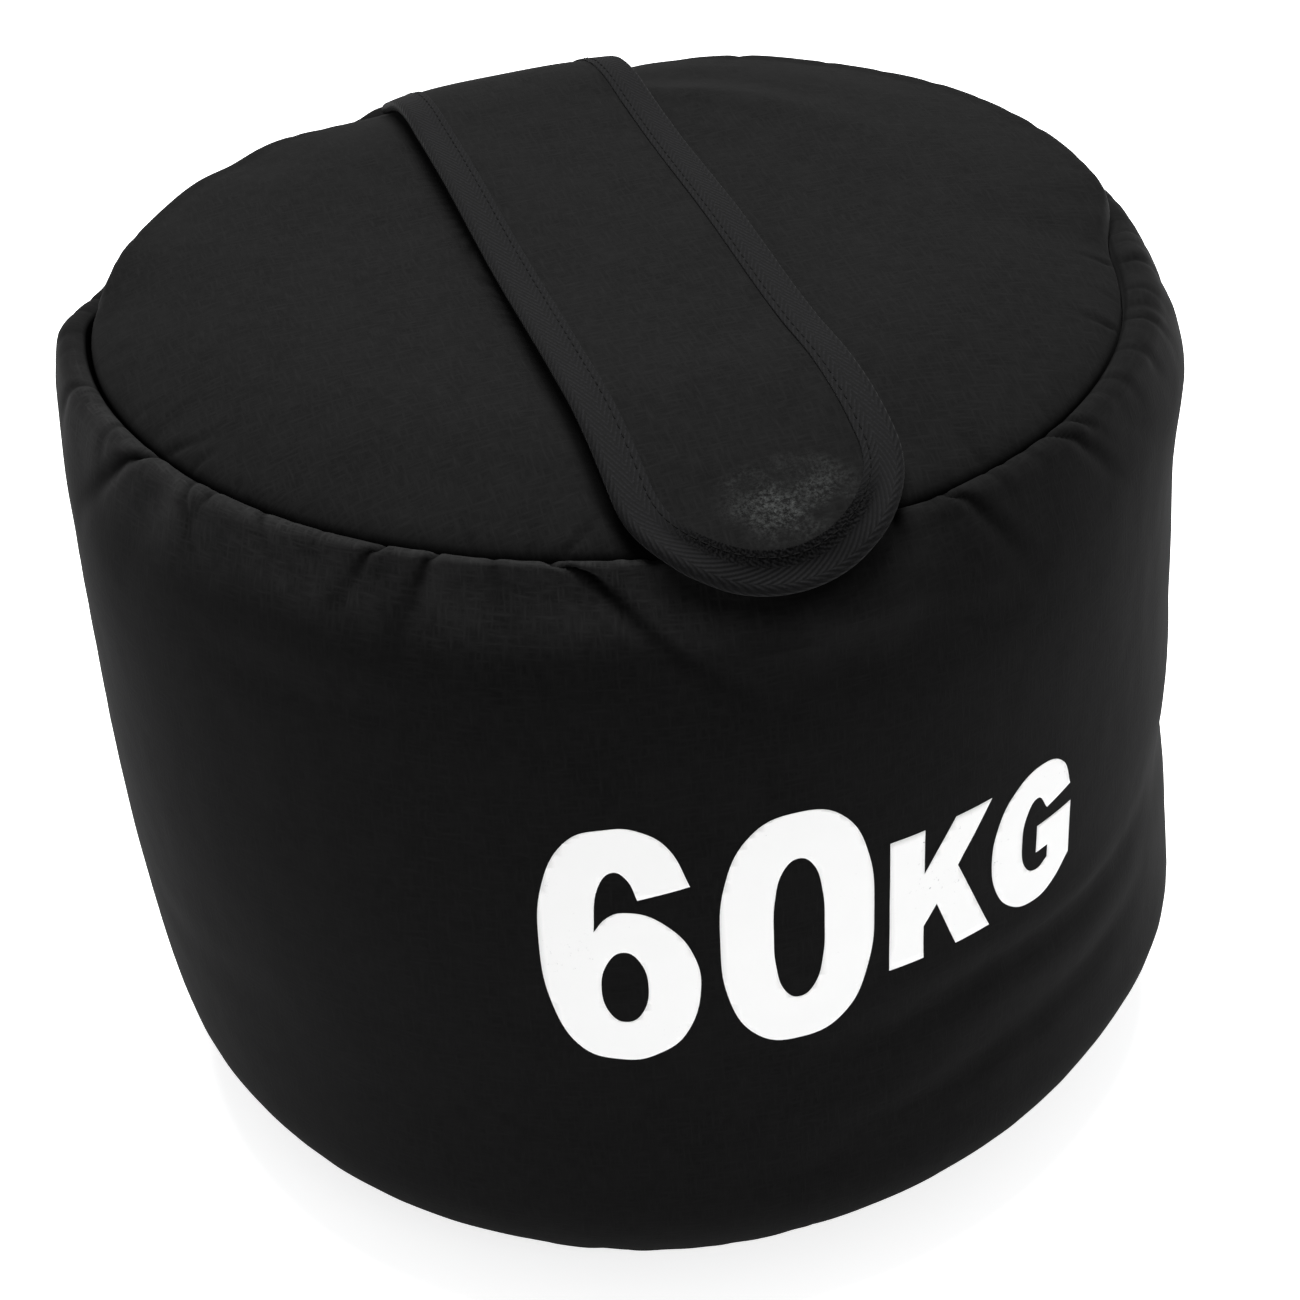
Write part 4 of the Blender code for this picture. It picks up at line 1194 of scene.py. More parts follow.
def tape_skin(leg, grow):
    """One face of the folded tape as depth from the edge and height, from its upper leg to its lower."""
    low, high = (level * MM for level in TAPE_LEVELS)
    middle, round_edge = (low + high) / 2, (high - low) / 2 + grow
    upper = [(leg - share * (leg - LEG_END * MM), high + grow) for share in UPPER_LEG]
    lower = [(leg - share * (leg - LEG_END * MM), low - grow) for share in LOWER_LEG]
    fold = []
    for turn in np.linspace(math.pi / 2, -math.pi / 2, FOLD_POINTS):
        fold.append((FOLD_INSET * MM - math.cos(turn) * round_edge, middle + math.sin(turn) * round_edge))
    return upper + fold + lower


def gathered(flap, flat):
    """Where the tape is gathered round the flap's tip, on the half away from the edge, from 0 to 1: the mask
    of its painted shade.
    """
    across, along = flat[:, 0], flat[:, 1] - flap.half_width
    inward = flap.half_width - np.where(along > 0, np.abs(across), np.hypot(across, along))
    return smooth_step(inward / MM, *GATHER_INWARD) * smooth_step(-along / MM, *GATHER_ROUND)


def make_binding(flap, material):
    section = tape_skin(flap.tape_leg, TAPE_THICKNESS * MM) + tape_skin(flap.tape_leg, 0.0)[::-1]
    stations = edge_line(flap, TAPE_STEP * MM)
    bm = bmesh.new()
    layer = bm.loops.layers.uv.new("cloth")
    loops = []
    for (across, along), (inward_x, inward_y) in stations:
        places = [(across + inward_x * depth, along + inward_y * depth, level) for depth, level in section]
        loops.append([bm.verts.new(place) for place in places])
    rings = [[bm.edges.new(pair) for pair in zip(verts, verts[1:] + verts[:1])] for verts in loops]
    for first, second in zip(rings, rings[1:]):
        bmesh.ops.bridge_loops(bm, edges=first + second)
    bmesh.ops.holes_fill(bm, edges=rings[0] + rings[-1])
    bmesh.ops.recalc_face_normals(bm, faces=bm.faces)
    width = marks_of(np.array(section))
    run = marks_of(np.array([place for place, _ in stations]))
    pattern = {}
    for verts, mark in zip(loops, run):
        pattern.update({vert: (across, mark) for vert, across in zip(verts, width)})
    for face in bm.faces:
        for corner in face.loops:
            corner[layer].uv = pattern[corner.vert]
    binding = new_object("flap_edge_tape", bm, material)
    flat = points_of(binding.data)
    # Painted shade in the gathered pits round the tip, for the tape's material
    mark_points(binding.data, "pit_shade", gathered(flap, flat))
    flat[:, 2] += lumps(flat, TAPE_GRAIN) * MM
    move_points(binding.data, lay_flap(flat))
    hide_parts("flap_binding")
    return binding


def stitched(name, line, length, width, material):
    """A row of stitches: one small rounded bead for each, along a line of places, headings and ways up."""
    bm = bmesh.new()
    size = Matrix.Diagonal((length / 2, width / 2, width / 2, 1))
    for place, heading, up in line:
        turn = Matrix((heading, up.cross(heading).normalized(), up)).transposed().to_4x4()
        laid = Matrix.Translation(place) @ turn @ size
        bmesh.ops.create_uvsphere(bm, u_segments=6, v_segments=4, radius=1, matrix=laid)
    return new_object(name, bm, material)


def make_flap_stitches(flap, thread):
    depth = flap.tape_leg - FLAP_STITCH_INSET * MM
    stations = edge_line(flap, flap.stitch)
    flat = np.array([(a + x * depth, b + y * depth, FLAP_STITCH_LEVEL * MM) for (a, b), (x, y) in stations])
    places = lay_flap(flat)
    above = lay_flap(flat + np.array([0, 0, MM]))
    line = []
    for index in range(1, len(places) - 1):
        heading = Vector(places[index + 1] - places[index - 1]).normalized()
        up = Vector(above[index] - places[index])
        line.append((Vector(places[index]), heading, (up - heading * up.dot(heading)).normalized()))
    return stitched("flap_stitches", line, STITCH_SHARE * flap.stitch, FLAP_THREAD * MM, thread)


def rectangle_path(low_x, low_y, high_x, high_y, step):
    """Even spots round a rectangle, each with its heading."""
    turns = [Vector(turn) for turn in ((low_x, low_y), (high_x, low_y), (high_x, high_y), (low_x, high_y))]
    spots = []
    for start, end in zip(turns, turns[1:] + turns[:1]):
        way = end - start
        count = round(way.length / step)
        spots += [(start + way * ((index + 0.5) / count), way.normalized()) for index in range(count)]
    return spots


def sewn_on(name, pieces, corners, side, thread):
    """Stitches round a rectangle, on the upper side of the pieces where side is 1, or the lower for -1."""
    trees = [BVHTree.FromObject(piece, bpy.context.evaluated_depsgraph_get()) for piece in pieces]
    line = []
    for spot, way in rectangle_path(*corners, FINE_STITCH * MM):
        start = Vector((spot.x, spot.y, (SEWN_LEVEL + SEWN_CAST * side) * MM))
        hits = [hit for hit in (tree.ray_cast(start, Vector((0, 0, -side))) for tree in trees) if hit[0]]
        if not hits:  # over the gap between the two halves of the top
            continue
        place, normal, _, _ = min(hits, key=lambda hit: hit[3])
        heading = Vector((way.x, way.y, 0))
        line.append((place, (heading - normal * heading.dot(normal)).normalized(), normal))
    return stitched(name, line, STITCH_SHARE * FINE_STITCH * MM, FINE_THREAD * MM, thread)


# Closures


def make_patch(name, node, material):
    """Hook or loop tape over the solid's own place: a thick sheet that follows the top's crown."""
    low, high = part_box(node)
    bm = bmesh.new()
    bmesh.ops.create_grid(bm, x_segments=PATCH_GRID[0], y_segments=PATCH_GRID[1], size=0.5)
    crown = smooth_line(TOP_LINE, 1 * MM)
    height, seed = PILE
    rng = np.random.default_rng(seed)
    lift = high.z - float(np.interp(-high.y, crown[:, 0], crown[:, 1])) - PATCH_SUNK * MM
    short = PATCH_SHORT * MM
    for vert in bm.verts:
        x = low.x + (vert.co.x + 0.5) * (high.x - low.x)
        y = low.y + short + (vert.co.y + 0.5) * (high.y - low.y - 2 * short)
        pile = 0.0 if vert.is_boundary else rng.uniform(-height, height) * MM
        vert.co = (x, y, float(np.interp(-y, crown[:, 0], crown[:, 1])) + lift + pile)
    patch = new_object(name, bm, material)
    map_flat(patch.data, points_of(patch.data))
    thicken(patch, PATCH_THICKNESS * MM)
    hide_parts(node)
    return patch


def make_zip_tape(name, node, material):
    """One side's woven tape, with a bead along the edge that carries the teeth."""
    low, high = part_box(node)
    bm = bmesh.new()
    bmesh.ops.create_grid(bm, x_segments=ZIP_GRID[0], y_segments=ZIP_GRID[1], size=0.5)
    inner = low.x if low.x > 0 else high.x
    rise, spread = ZIP_BEAD
    for vert in bm.verts:
        x = low.x + (vert.co.x + 0.5) * (high.x - low.x)
        y = low.y + (vert.co.y + 0.5) * (high.y - low.y)
        bead = rise * MM * bell(x - inner, spread * MM)
        vert.co = (x, y, high.z - ZIP_SUNK * MM + bead)
    tape = new_object(name, bm, material)
    map_flat(tape.data, points_of(tape.data))
    thicken(tape, WEBBING_THICKNESS * MM)
    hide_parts(node)
    return tape


def make_pull_tab(material):
    """Doubled webbing that loops round the ring's front bar."""
    low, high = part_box("zip_pull_tab")
    ring_low, ring_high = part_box("zip_pull_ring")
    wire = ring_high.z - ring_low.z
    bar_y, bar_z = ring_low.y + wire / 2, (ring_high.z + ring_low.z) / 2
    eye = wire / 2 + EYE_GAP * MM
    leg = np.linspace(low.y, bar_y - EYE_LEG * MM, LEG_POINTS)
    upper, lower = (bar_z + level * MM for level in LEG_LEVELS)
    turn = np.linspace(math.radians(EYE_TURN), math.radians(-EYE_TURN), LEG_POINTS)
    line = [(y, upper) for y in leg]
    line += [(bar_y + eye * math.cos(angle), bar_z + eye * math.sin(angle)) for angle in turn]
    line += [(y, lower) for y in leg[::-1]]
    bm = bmesh.new()
    verts = [bm.verts.new((low.x, y, z)) for y, z in line]
    edges = [bm.edges.new(pair) for pair in zip(verts, verts[1:])]
    shift = ((high.x - low.x) / WEBBING_COLUMNS, 0, 0)
    for _ in range(WEBBING_COLUMNS):
        edges = new_edges(bmesh.ops.extrude_edge_only(bm, edges=edges)["geom"])
        bmesh.ops.translate(bm, verts=list({vert for edge in edges for vert in edge.verts}), vec=shift)
    bmesh.ops.recalc_face_normals(bm, faces=bm.faces)
    tab = new_object("pull_webbing", bm, material)
    map_flat(tab.data, points_of(tab.data))
    thicken(tab, WEBBING_THICKNESS * MM, 0.0)
    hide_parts("zip_pull_tab")
    return tab


# Weight mark


def character_mesh(outlines):
    """A filled flat mesh of one figure or letter, one unit wide and high."""
    curve = bpy.data.curves.new("figure", "CURVE")
    curve.dimensions = "2D"
    curve.fill_mode = "BOTH"
    curve.resolution_u = OUTLINE_STEPS
    for outline in outlines:
        spline = curve.splines.new("BEZIER")
        spline.bezier_points.add(len(outline) - 1)
        for point, spot in zip(spline.bezier_points, outline):
            point.co = (spot[0], spot[1], 0)
            point.handle_left_type = point.handle_right_type = "VECTOR" if len(spot) > 2 else "AUTO"
        spline.use_cyclic_u = True
    holder = bpy.data.objects.new("figure", curve)
    bpy.context.scene.collection.objects.link(holder)
    bpy.context.view_layer.update()
    mesh = bpy.data.meshes.new_from_object(holder.evaluated_get(bpy.context.evaluated_depsgraph_get()))
    bpy.data.objects.remove(holder, do_unlink=True)
    return mesh


def cut_character(outlines, left, width, foot, height, slant):
    """One character at its place on the flat wall, mm, cut into a grid that can follow the cloth."""
    bm = bmesh.new()
    bm.from_mesh(character_mesh(outlines))
    for vert in bm.verts:
        level = foot + vert.co.y * height
        vert.co = (left + vert.co.x * width + math.tan(slant) * (level - MARK_MIDDLE), level, 0)
    for x in np.arange(left - MARK_MARGIN, left + width + MARK_MARGIN, MARK_CUTS):
        cut_at(bm, (x, 0, 0), (1, 0, 0))
    for y in np.arange(foot, foot + height, MARK_CUTS):
        cut_at(bm, (0, y, 0), (0, 1, 0))
    mesh = bpy.data.meshes.new("figure")
    bm.to_mesh(mesh)
    bm.free()
    return mesh


def make_mark(mark, wall, material):
    """Prints the weight on the wall: the characters are laid on the cloth."""
    bm = bmesh.new()
    for character in MARK:
        bm.from_mesh(cut_character(*character, mark.slant))
    bmesh.ops.remove_doubles(bm, verts=bm.verts, dist=0.01)
    flat = np.array([vert.co for vert in bm.verts])
    tree = BVHTree.FromObject(wall, bpy.context.evaluated_depsgraph_get())
    for vert in bm.verts:
        angle = vert.co.x / WALL_RADIUS
        way = Vector((math.sin(angle), -math.cos(angle), 0))
        start = way * INK_CAST + Vector((0, 0, vert.co.y * MM))
        place, normal, _, _ = tree.ray_cast(start, -way)
        vert.co = place + normal * mark.film
    bm.normal_update()
    outward = sum(face.normal.dot(face.calc_center_median() - BAG_MIDDLE) for face in bm.faces)
    if outward < 0:
        bmesh.ops.reverse_faces(bm, faces=bm.faces)
    ink = new_object("weight_mark", bm, material)
    map_flat(ink.data, flat * MM)
    thicken(ink, INK_THICKNESS * MM)
    return ink


# Materials


def set_inputs(tree, node, inputs):
    """Sets each input of a node, or links it where its value is another node's output."""
    for name, value in inputs.items():
        if isinstance(value, bpy.types.NodeSocket):
            tree.links.new(value, node.inputs[name])
        else:
            node.inputs[name].default_value = value


def add_node(tree, kind, inputs=None, **settings):
    """Adds a shader node with its settings, and sets or links its inputs."""
    made = tree.nodes.new(f"ShaderNode{kind}")
    for name, value in settings.items():
        setattr(made, name, value)
    set_inputs(tree, made, inputs or {})
    return made


def new_material(name):
    material = bpy.data.materials.new(name)
    material.use_nodes = True
    tree = material.node_tree
    return material, tree, tree.nodes["Principled BSDF"]


def scaled(colour, share):
    """A colour with its alpha, at a share of its own brightness and no more than white."""
    return (*(min(value * share, 1) for value in colour), 1)


def cloth_weave(tree, pitch):
    """Height of a plain weave on the cloth's own UVs: crossed threads, uneven as spun cotton is.
    A canvas thread is 0.5 mm, too fine for the picture, so the threads are drawn wider."""
    uv = add_node(tree, "UVMap", uv_map="cloth")
    long = 0.16 / pitch
    heights = []
    for scale, shift in (((1 / pitch, long, 1), 0), ((long, 1 / pitch, 1), 3.7)):
        grid = add_node(tree, "Mapping", {"Vector": uv.outputs[0], "Scale": scale, "Location": (shift, 0, 0)})
        thread = {"Vector": grid.outputs[0], "Scale": 1.0, "Detail": 2.0, "Roughness": 0.55}
        heights.append(add_node(tree, "TexNoise", thread).outputs["Fac"])
    return add_node(tree, "Math", {0: heights[0], 1: heights[1]}, operation="MAXIMUM").outputs[0]


def mottled(tree, colour, shares, size, detail=4.0, roughness=0.6):
    """A colour that varies between two shares of itself over patches of a given size."""
    spot = add_node(tree, "TexCoord").outputs["Object"]
    patches = {"Vector": spot, "Scale": 1 / size, "Detail": detail, "Roughness": roughness}
    clouds = add_node(tree, "TexNoise", patches)
    ramp_node = add_node(tree, "ValToRGB", {0: clouds.outputs["Fac"]})
    for element, place, share in zip(ramp_node.color_ramp.elements, (0.30, 0.70), shares):
        element.position = place
        element.color = scaled(colour, share)
    return ramp_node.outputs[0]


def cotton_canvas(cloth):
    """Dyed cotton canvas, plain woven and brushed: matt black with a soft bloom at a slant. Its raised
    threads are painted lighter as a painted highlight, a band over the front of the shoulder is painted paler
    as a painted highlight, and the creases, the seam's gap and the flap's edge get painted shade: darker and
    without bloom."""
    material, tree, shader = new_material("cotton_canvas_black")
    weave = cloth_weave(tree, cloth.thread_pitch)
    base = mottled(tree, cloth.canvas, (0.6, 1.4), 18 * MM, 6.0, 0.7)
    raised = add_node(tree, "MapRange", {"Value": weave, "From Min": 0.42, "From Max": 0.78}).outputs[0]
    painted_shade = add_node(tree, "Attribute", attribute_name="painted_shade").outputs["Fac"]
    painted_shoulder_light = add_node(tree, "Attribute", attribute_name="painted_shoulder_light").outputs["Fac"]
    # Painted highlight: raised threads are painted lighter than the hollows between them
    threads = {0: raised, 6: base, 7: scaled(cloth.canvas, 2.3)}
    wear_and_thread_highlight = add_node(tree, "Mix", threads, data_type="RGBA").outputs[2]
    # Painted highlight: the front shoulder's band is painted paler
    paler = {0: painted_shoulder_light, 6: wear_and_thread_highlight, 7: (3.6, 3.6, 3.6, 1)}
    highlighted = add_node(tree, "Mix", paler, data_type="RGBA", blend_type="MULTIPLY").outputs[2]
    # Painted shade: creases, the seam's gap and the flap's edge are painted near black and lose their gloss
    # and bloom
    darker = {0: painted_shade, 6: highlighted, 7: (*linear("#020202"), 1)}
    gloss = add_node(tree, "MapRange", {"Value": painted_shade, "To Min": 0.06, "To Max": 0.0})
    bloom = add_node(tree, "MapRange", {"Value": painted_shade, "To Min": 0.020, "To Max": 0.0})
    bump = {"Strength": 0.3, "Distance": 0.16 * MM, "Height": raised}
    set_inputs(tree, shader, {
        "Base Color": add_node(tree, "Mix", darker, data_type="RGBA").outputs[2],
        "Specular IOR Level": gloss.outputs[0],
        "Sheen Weight": bloom.outputs[0],
        "Normal": add_node(tree, "Bump", bump).outputs[0],
        "Roughness": 0.86,
        "Sheen Roughness": 0.5,
    })
    return material


def flap_canvas(cloth):
    """The same canvas, a little dusty where the closure under the flap's tip rubs."""
    material = cotton_canvas(cloth)
    material.name = "cotton_canvas_flap"
    tree = material.node_tree
    shader = tree.nodes["Principled BSDF"]
    plain = shader.inputs["Base Color"].links[0].from_socket
    spot = add_node(tree, "TexCoord").outputs["Object"]
    at_tip = {"Vector": spot, "Location": (-0.30, 8.45, -17.0), "Scale": (38, 50, 54)}
    near = add_node(tree, "Mapping", at_tip)
    ball = add_node(tree, "TexGradient", {0: near.outputs[0]}, gradient_type="SPHERICAL")
    grit = {"Vector": spot, "Scale": 1 / (1.5 * MM), "Detail": 3.0, "Roughness": 0.8}
    specks = add_node(tree, "TexNoise", grit).outputs["Fac"]
    blots = add_node(tree, "TexNoise", {"Vector": spot, "Scale": 1 / (13 * MM), "Detail": 3.0}).outputs["Fac"]
    uneven = add_node(tree, "MapRange", {"Value": blots, "From Min": 0.38, "From Max": 0.62})
    rubbed_in = add_node(tree, "Math", {0: ball.outputs["Fac"], 1: uneven.outputs[0]}, operation="MULTIPLY")
    fine = add_node(tree, "MapRange", {"Value": specks, "From Min": 0.42, "From Max": 0.66})
    dust = add_node(tree, "Math", {0: rubbed_in.outputs[0], 1: fine.outputs[0]}, operation="MULTIPLY")
    shown = add_node(tree, "Math", {0: dust.outputs[0], 1: 0.62}, operation="MULTIPLY", use_clamp=True)
    colours = {0: shown.outputs[0], 6: plain, 7: (*linear("#4a4c4b"), 1)}
    dusty = add_node(tree, "Mix", colours, data_type="RGBA")
    set_inputs(tree, shader, {"Base Color": dusty.outputs[2]})
    return material


def twill_tape(cloth):
    """Herringbone twill tape: fine slanting ribs that turn back at the tape's middle, ragged as spun yarn is,
    with their crests painted lighter and their hollows darker as painted highlight and shade, and painted
    shade in the gathered pits round the flap's tip. Such ribs are near 0.8 mm apart, too fine for the
    picture, and are drawn at 1.5 mm."""
    material, tree, shader = new_material("cotton_twill_tape_black")
    uv = add_node(tree, "UVMap", uv_map="cloth").outputs[0]
    axes = add_node(tree, "SeparateXYZ", {0: uv})
    band = add_node(tree, "Math", {0: axes.outputs[0], 1: 5.0 * MM}, operation="PINGPONG")
    leaning = {0: axes.outputs[1], 1: 0.42, 2: band.outputs[0]}
    slant = add_node(tree, "Math", leaning, operation="MULTIPLY_ADD")
    turn = add_node(tree, "Math", {0: slant.outputs[0], 1: math.tau / (1.5 * MM)}, operation="MULTIPLY")
    wave = add_node(tree, "Math", {0: turn.outputs[0]}, operation="SINE")
    rib = add_node(tree, "MapRange", {"Value": wave.outputs[0], "From Min": -1.0, "From Max": 1.0}).outputs[0]
    fluff = {"Vector": uv, "Scale": 1 / (0.9 * MM), "Detail": 2.0, "Roughness": 0.6}
    fluff = add_node(tree, "TexNoise", fluff).outputs["Fac"]
    ragged = add_node(tree, "MapRange", {"Value": fluff, "From Min": 0.35, "From Max": 0.65})
    yarn = add_node(tree, "Math", {0: rib, 1: ragged.outputs[0]}, operation="MULTIPLY")
    # Painted highlight and shade: rib crests are painted lighter and the hollows darker
    ribs = {0: yarn.outputs[0], 6: scaled(cloth.tape, 0.4), 7: scaled(cloth.tape, 1.7)}
    colour = add_node(tree, "Mix", ribs, data_type="RGBA")
    # Painted shade: the gathered pits round the tip are painted near black and lose their gloss and bloom
    pit_shade = add_node(tree, "Attribute", attribute_name="pit_shade").outputs["Fac"]
    pits = {"Value": fluff, "From Min": 0.40, "From Max": 0.56, "To Min": 0.30, "To Max": 0.85}
    dots = add_node(tree, "MapRange", pits)
    pit_shade_share = add_node(tree, "Math", {0: dots.outputs[0], 1: pit_shade}, operation="MULTIPLY").outputs[0]
    shaded = {0: pit_shade_share, 6: colour.outputs[2], 7: (*linear("#010101"), 1)}
    gloss = add_node(tree, "MapRange", {"Value": pit_shade_share, "To Min": 0.09, "To Max": 0.0})
    bloom = add_node(tree, "MapRange", {"Value": pit_shade_share, "To Min": 0.03, "To Max": 0.0})
    bump = {"Strength": 0.5, "Distance": 0.3 * MM, "Height": rib}
    set_inputs(tree, shader, {
        "Base Color": add_node(tree, "Mix", shaded, data_type="RGBA").outputs[2],
        "Specular IOR Level": gloss.outputs[0],
        "Sheen Weight": bloom.outputs[0],
        "Normal": add_node(tree, "Bump", bump).outputs[0],
        "Roughness": 0.78,
        "Sheen Roughness": 0.4,
    })
    return material


def screen_ink(mark):
    """Screen-printed white plastisol: a soft film with pinholes where the cloth shows through."""
    material, tree, shader = new_material("plastisol_ink_white")
    spot = add_node(tree, "TexCoord").outputs["Object"]
    pinholes = {"Vector": spot, "Scale": 1 / (1.6 * MM), "Detail": 4.0, "Roughness": 0.75}
    holes = add_node(tree, "TexNoise", pinholes).outputs["Fac"]
    patches = add_node(tree, "TexNoise", {"Vector": spot, "Scale": 1 / (26 * MM), "Detail": 2.0})
    both = add_node(tree, "Math", {0: patches.outputs["Fac"], 1: 0.30, 2: holes}, operation="MULTIPLY_ADD")
    wear_and_thread_highlight = add_node(tree, "MapRange", {"Value": both.outputs[0], "From Min": 0.83, "From Max": 0.95})
    colours = {0: wear_and_thread_highlight.outputs[0], 6: (*mark.ink, 1), 7: (*linear("#8b8b90"), 1)}
    bump = {"Strength": 0.25, "Distance": 0.1 * MM, "Height": holes}
    set_inputs(tree, shader, {
        "Base Color": add_node(tree, "Mix", colours, data_type="RGBA").outputs[2],
        "Normal": add_node(tree, "Bump", bump).outputs[0],
        "Roughness": 0.6,
        "Specular IOR Level": 0.3,
    })
    return material


# Finishes with a fine grain: colour, roughness, size and depth of the grain in mm, least and most share of
# the colour, sheen, specular level and metallic value
FINISHES = {
    # Calendered polyester taffeta: smooth and dark with hardly any grain
    "polyester_lining_black": ("#0d0d0e", 0.7, 0.7, 0.05, (0.7, 1.4), 0.02, 0.16, 0.0),
    # Spun thread, dyed deep black: it takes the light up
    "polyester_thread_black": ("#030303", 0.8, 0.4, 0.05, (0.7, 1.4), 0.0, 0.1, 0.0),
    # Hooks and loops as a dense deep pile: matt with a soft edge light
    "nylon_hook_and_loop_black": ("#0c0c0c", 0.9, 0.8, 0.5, (0.7, 1.4), 0.05, 0.16, 0.0),
    # Tightly woven tape: even and slightly smooth
    "polyester_zip_tape_black": ("#0e0e0f", 0.7, 0.5, 0.08, (0.7, 1.4), 0.02, 0.16, 0.0),
    # Coarse webbing: its ribs catch the light
    "nylon_webbing_black": ("#121213", 0.65, 0.6, 0.12, (0.7, 1.4), 0.02, 0.16, 0.0),
    # Moulded teeth: satin with small clear highlights
    "acetal_moulded_black": ("#0e0e0f", 0.35, 0.5, 0.01, (0.7, 1.4), 0.0, 0.4, 0.0),
    # Die-cast slider, dipped in enamel: smooth and glossy
    "zinc_cast_black_enamel": ("#17171a", 0.28, 0.9, 0.01, (0.7, 1.4), 0.0, 0.5, 0.0),
    # Drawn wire, plated: bright metal with a warm grey tint
    "steel_nickel_plated": ("#c4c0b8", 0.24, 0.6, 0.005, (0.9, 1.05), 0.0, 0.5, 1.0),
    # Woven cotton tape folded over the seams inside: a little paler than the canvas
    "cotton_tape_black": ("#1a1a1b", 0.8, 0.8, 0.1, (0.7, 1.4), 0.02, 0.16, 0.0),
    # Woven flat plastic yarn: pale grey with a low even shine
    "polypropylene_woven_grey": ("#8f8f8c", 0.6, 1.2, 0.1, (0.85, 1.1), 0.02, 0.16, 0.0),
    # Twisted cord: off-white with shadow between its strands
    "polyester_cord_white": ("#d6d3c8", 0.7, 0.6, 0.2, (0.8, 1.1), 0.02, 0.16, 0.0),
    # Dry grains: dull, mixed from pale to brown
    "quartz_sand_dry": ("#b59a6c", 0.95, 0.8, 0.5, (0.6, 1.3), 0.0, 0.16, 0.0),
}
# Size of the patches of colour, in grains
PATCH_GRAINS = 6
# Radius from which a draw-in of the pieces inside is counted
DRAWN_RADIUS = 190.0


def finish(name):
    """Makes one of the finishes with a fine grain in its colour and its surface."""
    code, roughness, size, depth, shares, sheen, specular, metallic = FINISHES[name]
    material, tree, shader = new_material(name)
    base = mottled(tree, linear(code), shares, size * MM * PATCH_GRAINS)
    spot = add_node(tree, "TexCoord").outputs["Object"]
    grain = add_node(tree, "TexNoise", {"Vector": spot, "Scale": 1 / (size * MM), "Detail": 3.0})
    bump = {"Strength": 0.6, "Distance": depth * MM, "Height": grain.outputs["Fac"]}
    set_inputs(tree, shader, {
        "Base Color": base,
        "Normal": add_node(tree, "Bump", bump).outputs[0],
        "Roughness": roughness,
        "Metallic": metallic,
        "Sheen Weight": sheen,
        "Specular IOR Level": specular,
    })
    return material


def carried(name, node, material, draw_in):
    """A soft piece inside the bag: its solid's form, settled as the cloth is and a few mm inside it."""
    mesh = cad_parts[node].data.copy()
    mesh.materials.clear()
    mesh.materials.append(material)
    piece = bpy.data.objects.new(name, mesh)
    bpy.context.scene.collection.objects.link(piece)
    middle = np.array(BAG_MIDDLE)
    move_points(mesh, middle + (settle(points_of(mesh)) - middle) * (1 - draw_in / DRAWN_RADIUS))
    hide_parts(node)
    return piece


def dress(node, material):
    """Gives a solid that stays its finish."""
    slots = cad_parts[node].data.materials
    slots.clear()
    slots.append(material)


# Stage

CAMERA_PLACE = (
    (0.95482, 0.22144, -0.19819, -0.20827),
    (-0.28933, 0.54042, -0.79008, -0.84687),
    (-0.06785, 0.81173, 0.58008, 0.77251),
    (0, 0, 0, 1),
)
FLOOR_SIZE = 6.0
# Place and width of the lights, in metres
KEY_LIGHT = ((0.10, 0.25, 2.10), 1.1)
FILL_LIGHT = ((0.2, -1.9, 1.3), 1.2)
# Glow of the floor as the camera alone sees it, which keeps it near white
FLOOR_GLOW = 0.72


def painted_floor(stage):
    """Matt painted floor that the camera sees near white, and that keeps the bag's soft shadow."""
    material, tree, shader = new_material("painted_board_white")
    set_inputs(tree, shader, {"Base Color": (*stage.floor, 1), "Roughness": 0.9, "Specular IOR Level": 0.1})
    seen = add_node(tree, "LightPath").outputs["Is Camera Ray"]
    glow = add_node(tree, "Math", {0: seen, 1: FLOOR_GLOW}, operation="MULTIPLY")
    light = add_node(tree, "Emission", {"Color": (1, 1, 1, 1), "Strength": glow.outputs[0]})
    both = add_node(tree, "AddShader", {0: shader.outputs[0], 1: light.outputs[0]})
    set_inputs(tree, tree.nodes["Material Output"], {"Surface": both.outputs[0]})
    return material


def place_light(name, place, size, power):
    light = bpy.data.lights.new(name, "AREA")
    light.shape = "DISK"
    light.size = size
    light.energy = power
    lamp = bpy.data.objects.new(name, light)
    lamp.location = place
    lamp.rotation_euler = (BAG_MIDDLE - Vector(place)).to_track_quat("-Z", "Y").to_euler()
    bpy.context.scene.collection.objects.link(lamp)


def white_room(scene, stage):
    """Even light all round, which the camera sees as plain white."""
    world = bpy.data.worlds.new("white_room")
    world.use_nodes = True
    tree = world.node_tree
    seen = add_node(tree, "LightPath").outputs["Is Camera Ray"]
    strength = add_node(tree, "MapRange", {"Value": seen, "To Min": stage.sky, "To Max": 1.0})
    set_inputs(tree, tree.nodes["Background"], {"Color": (1, 1, 1, 1), "Strength": strength.outputs[0]})
    scene.world = world


# Operators


class SANDBAG_OT_shell(bpy.types.Operator):
    """Make the canvas wall, top and base"""

    bl_idname = "sandbag.shell"
    bl_label = "Canvas shell"

    def execute(self, context):
        cloth = context.scene.sandbag_cloth
        canvas = cotton_canvas(cloth)
        for piece in [make_wall(cloth, canvas), *make_top(cloth, canvas), make_base(cloth, canvas)]:
            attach(piece, "bag")
        return {"FINISHED"}


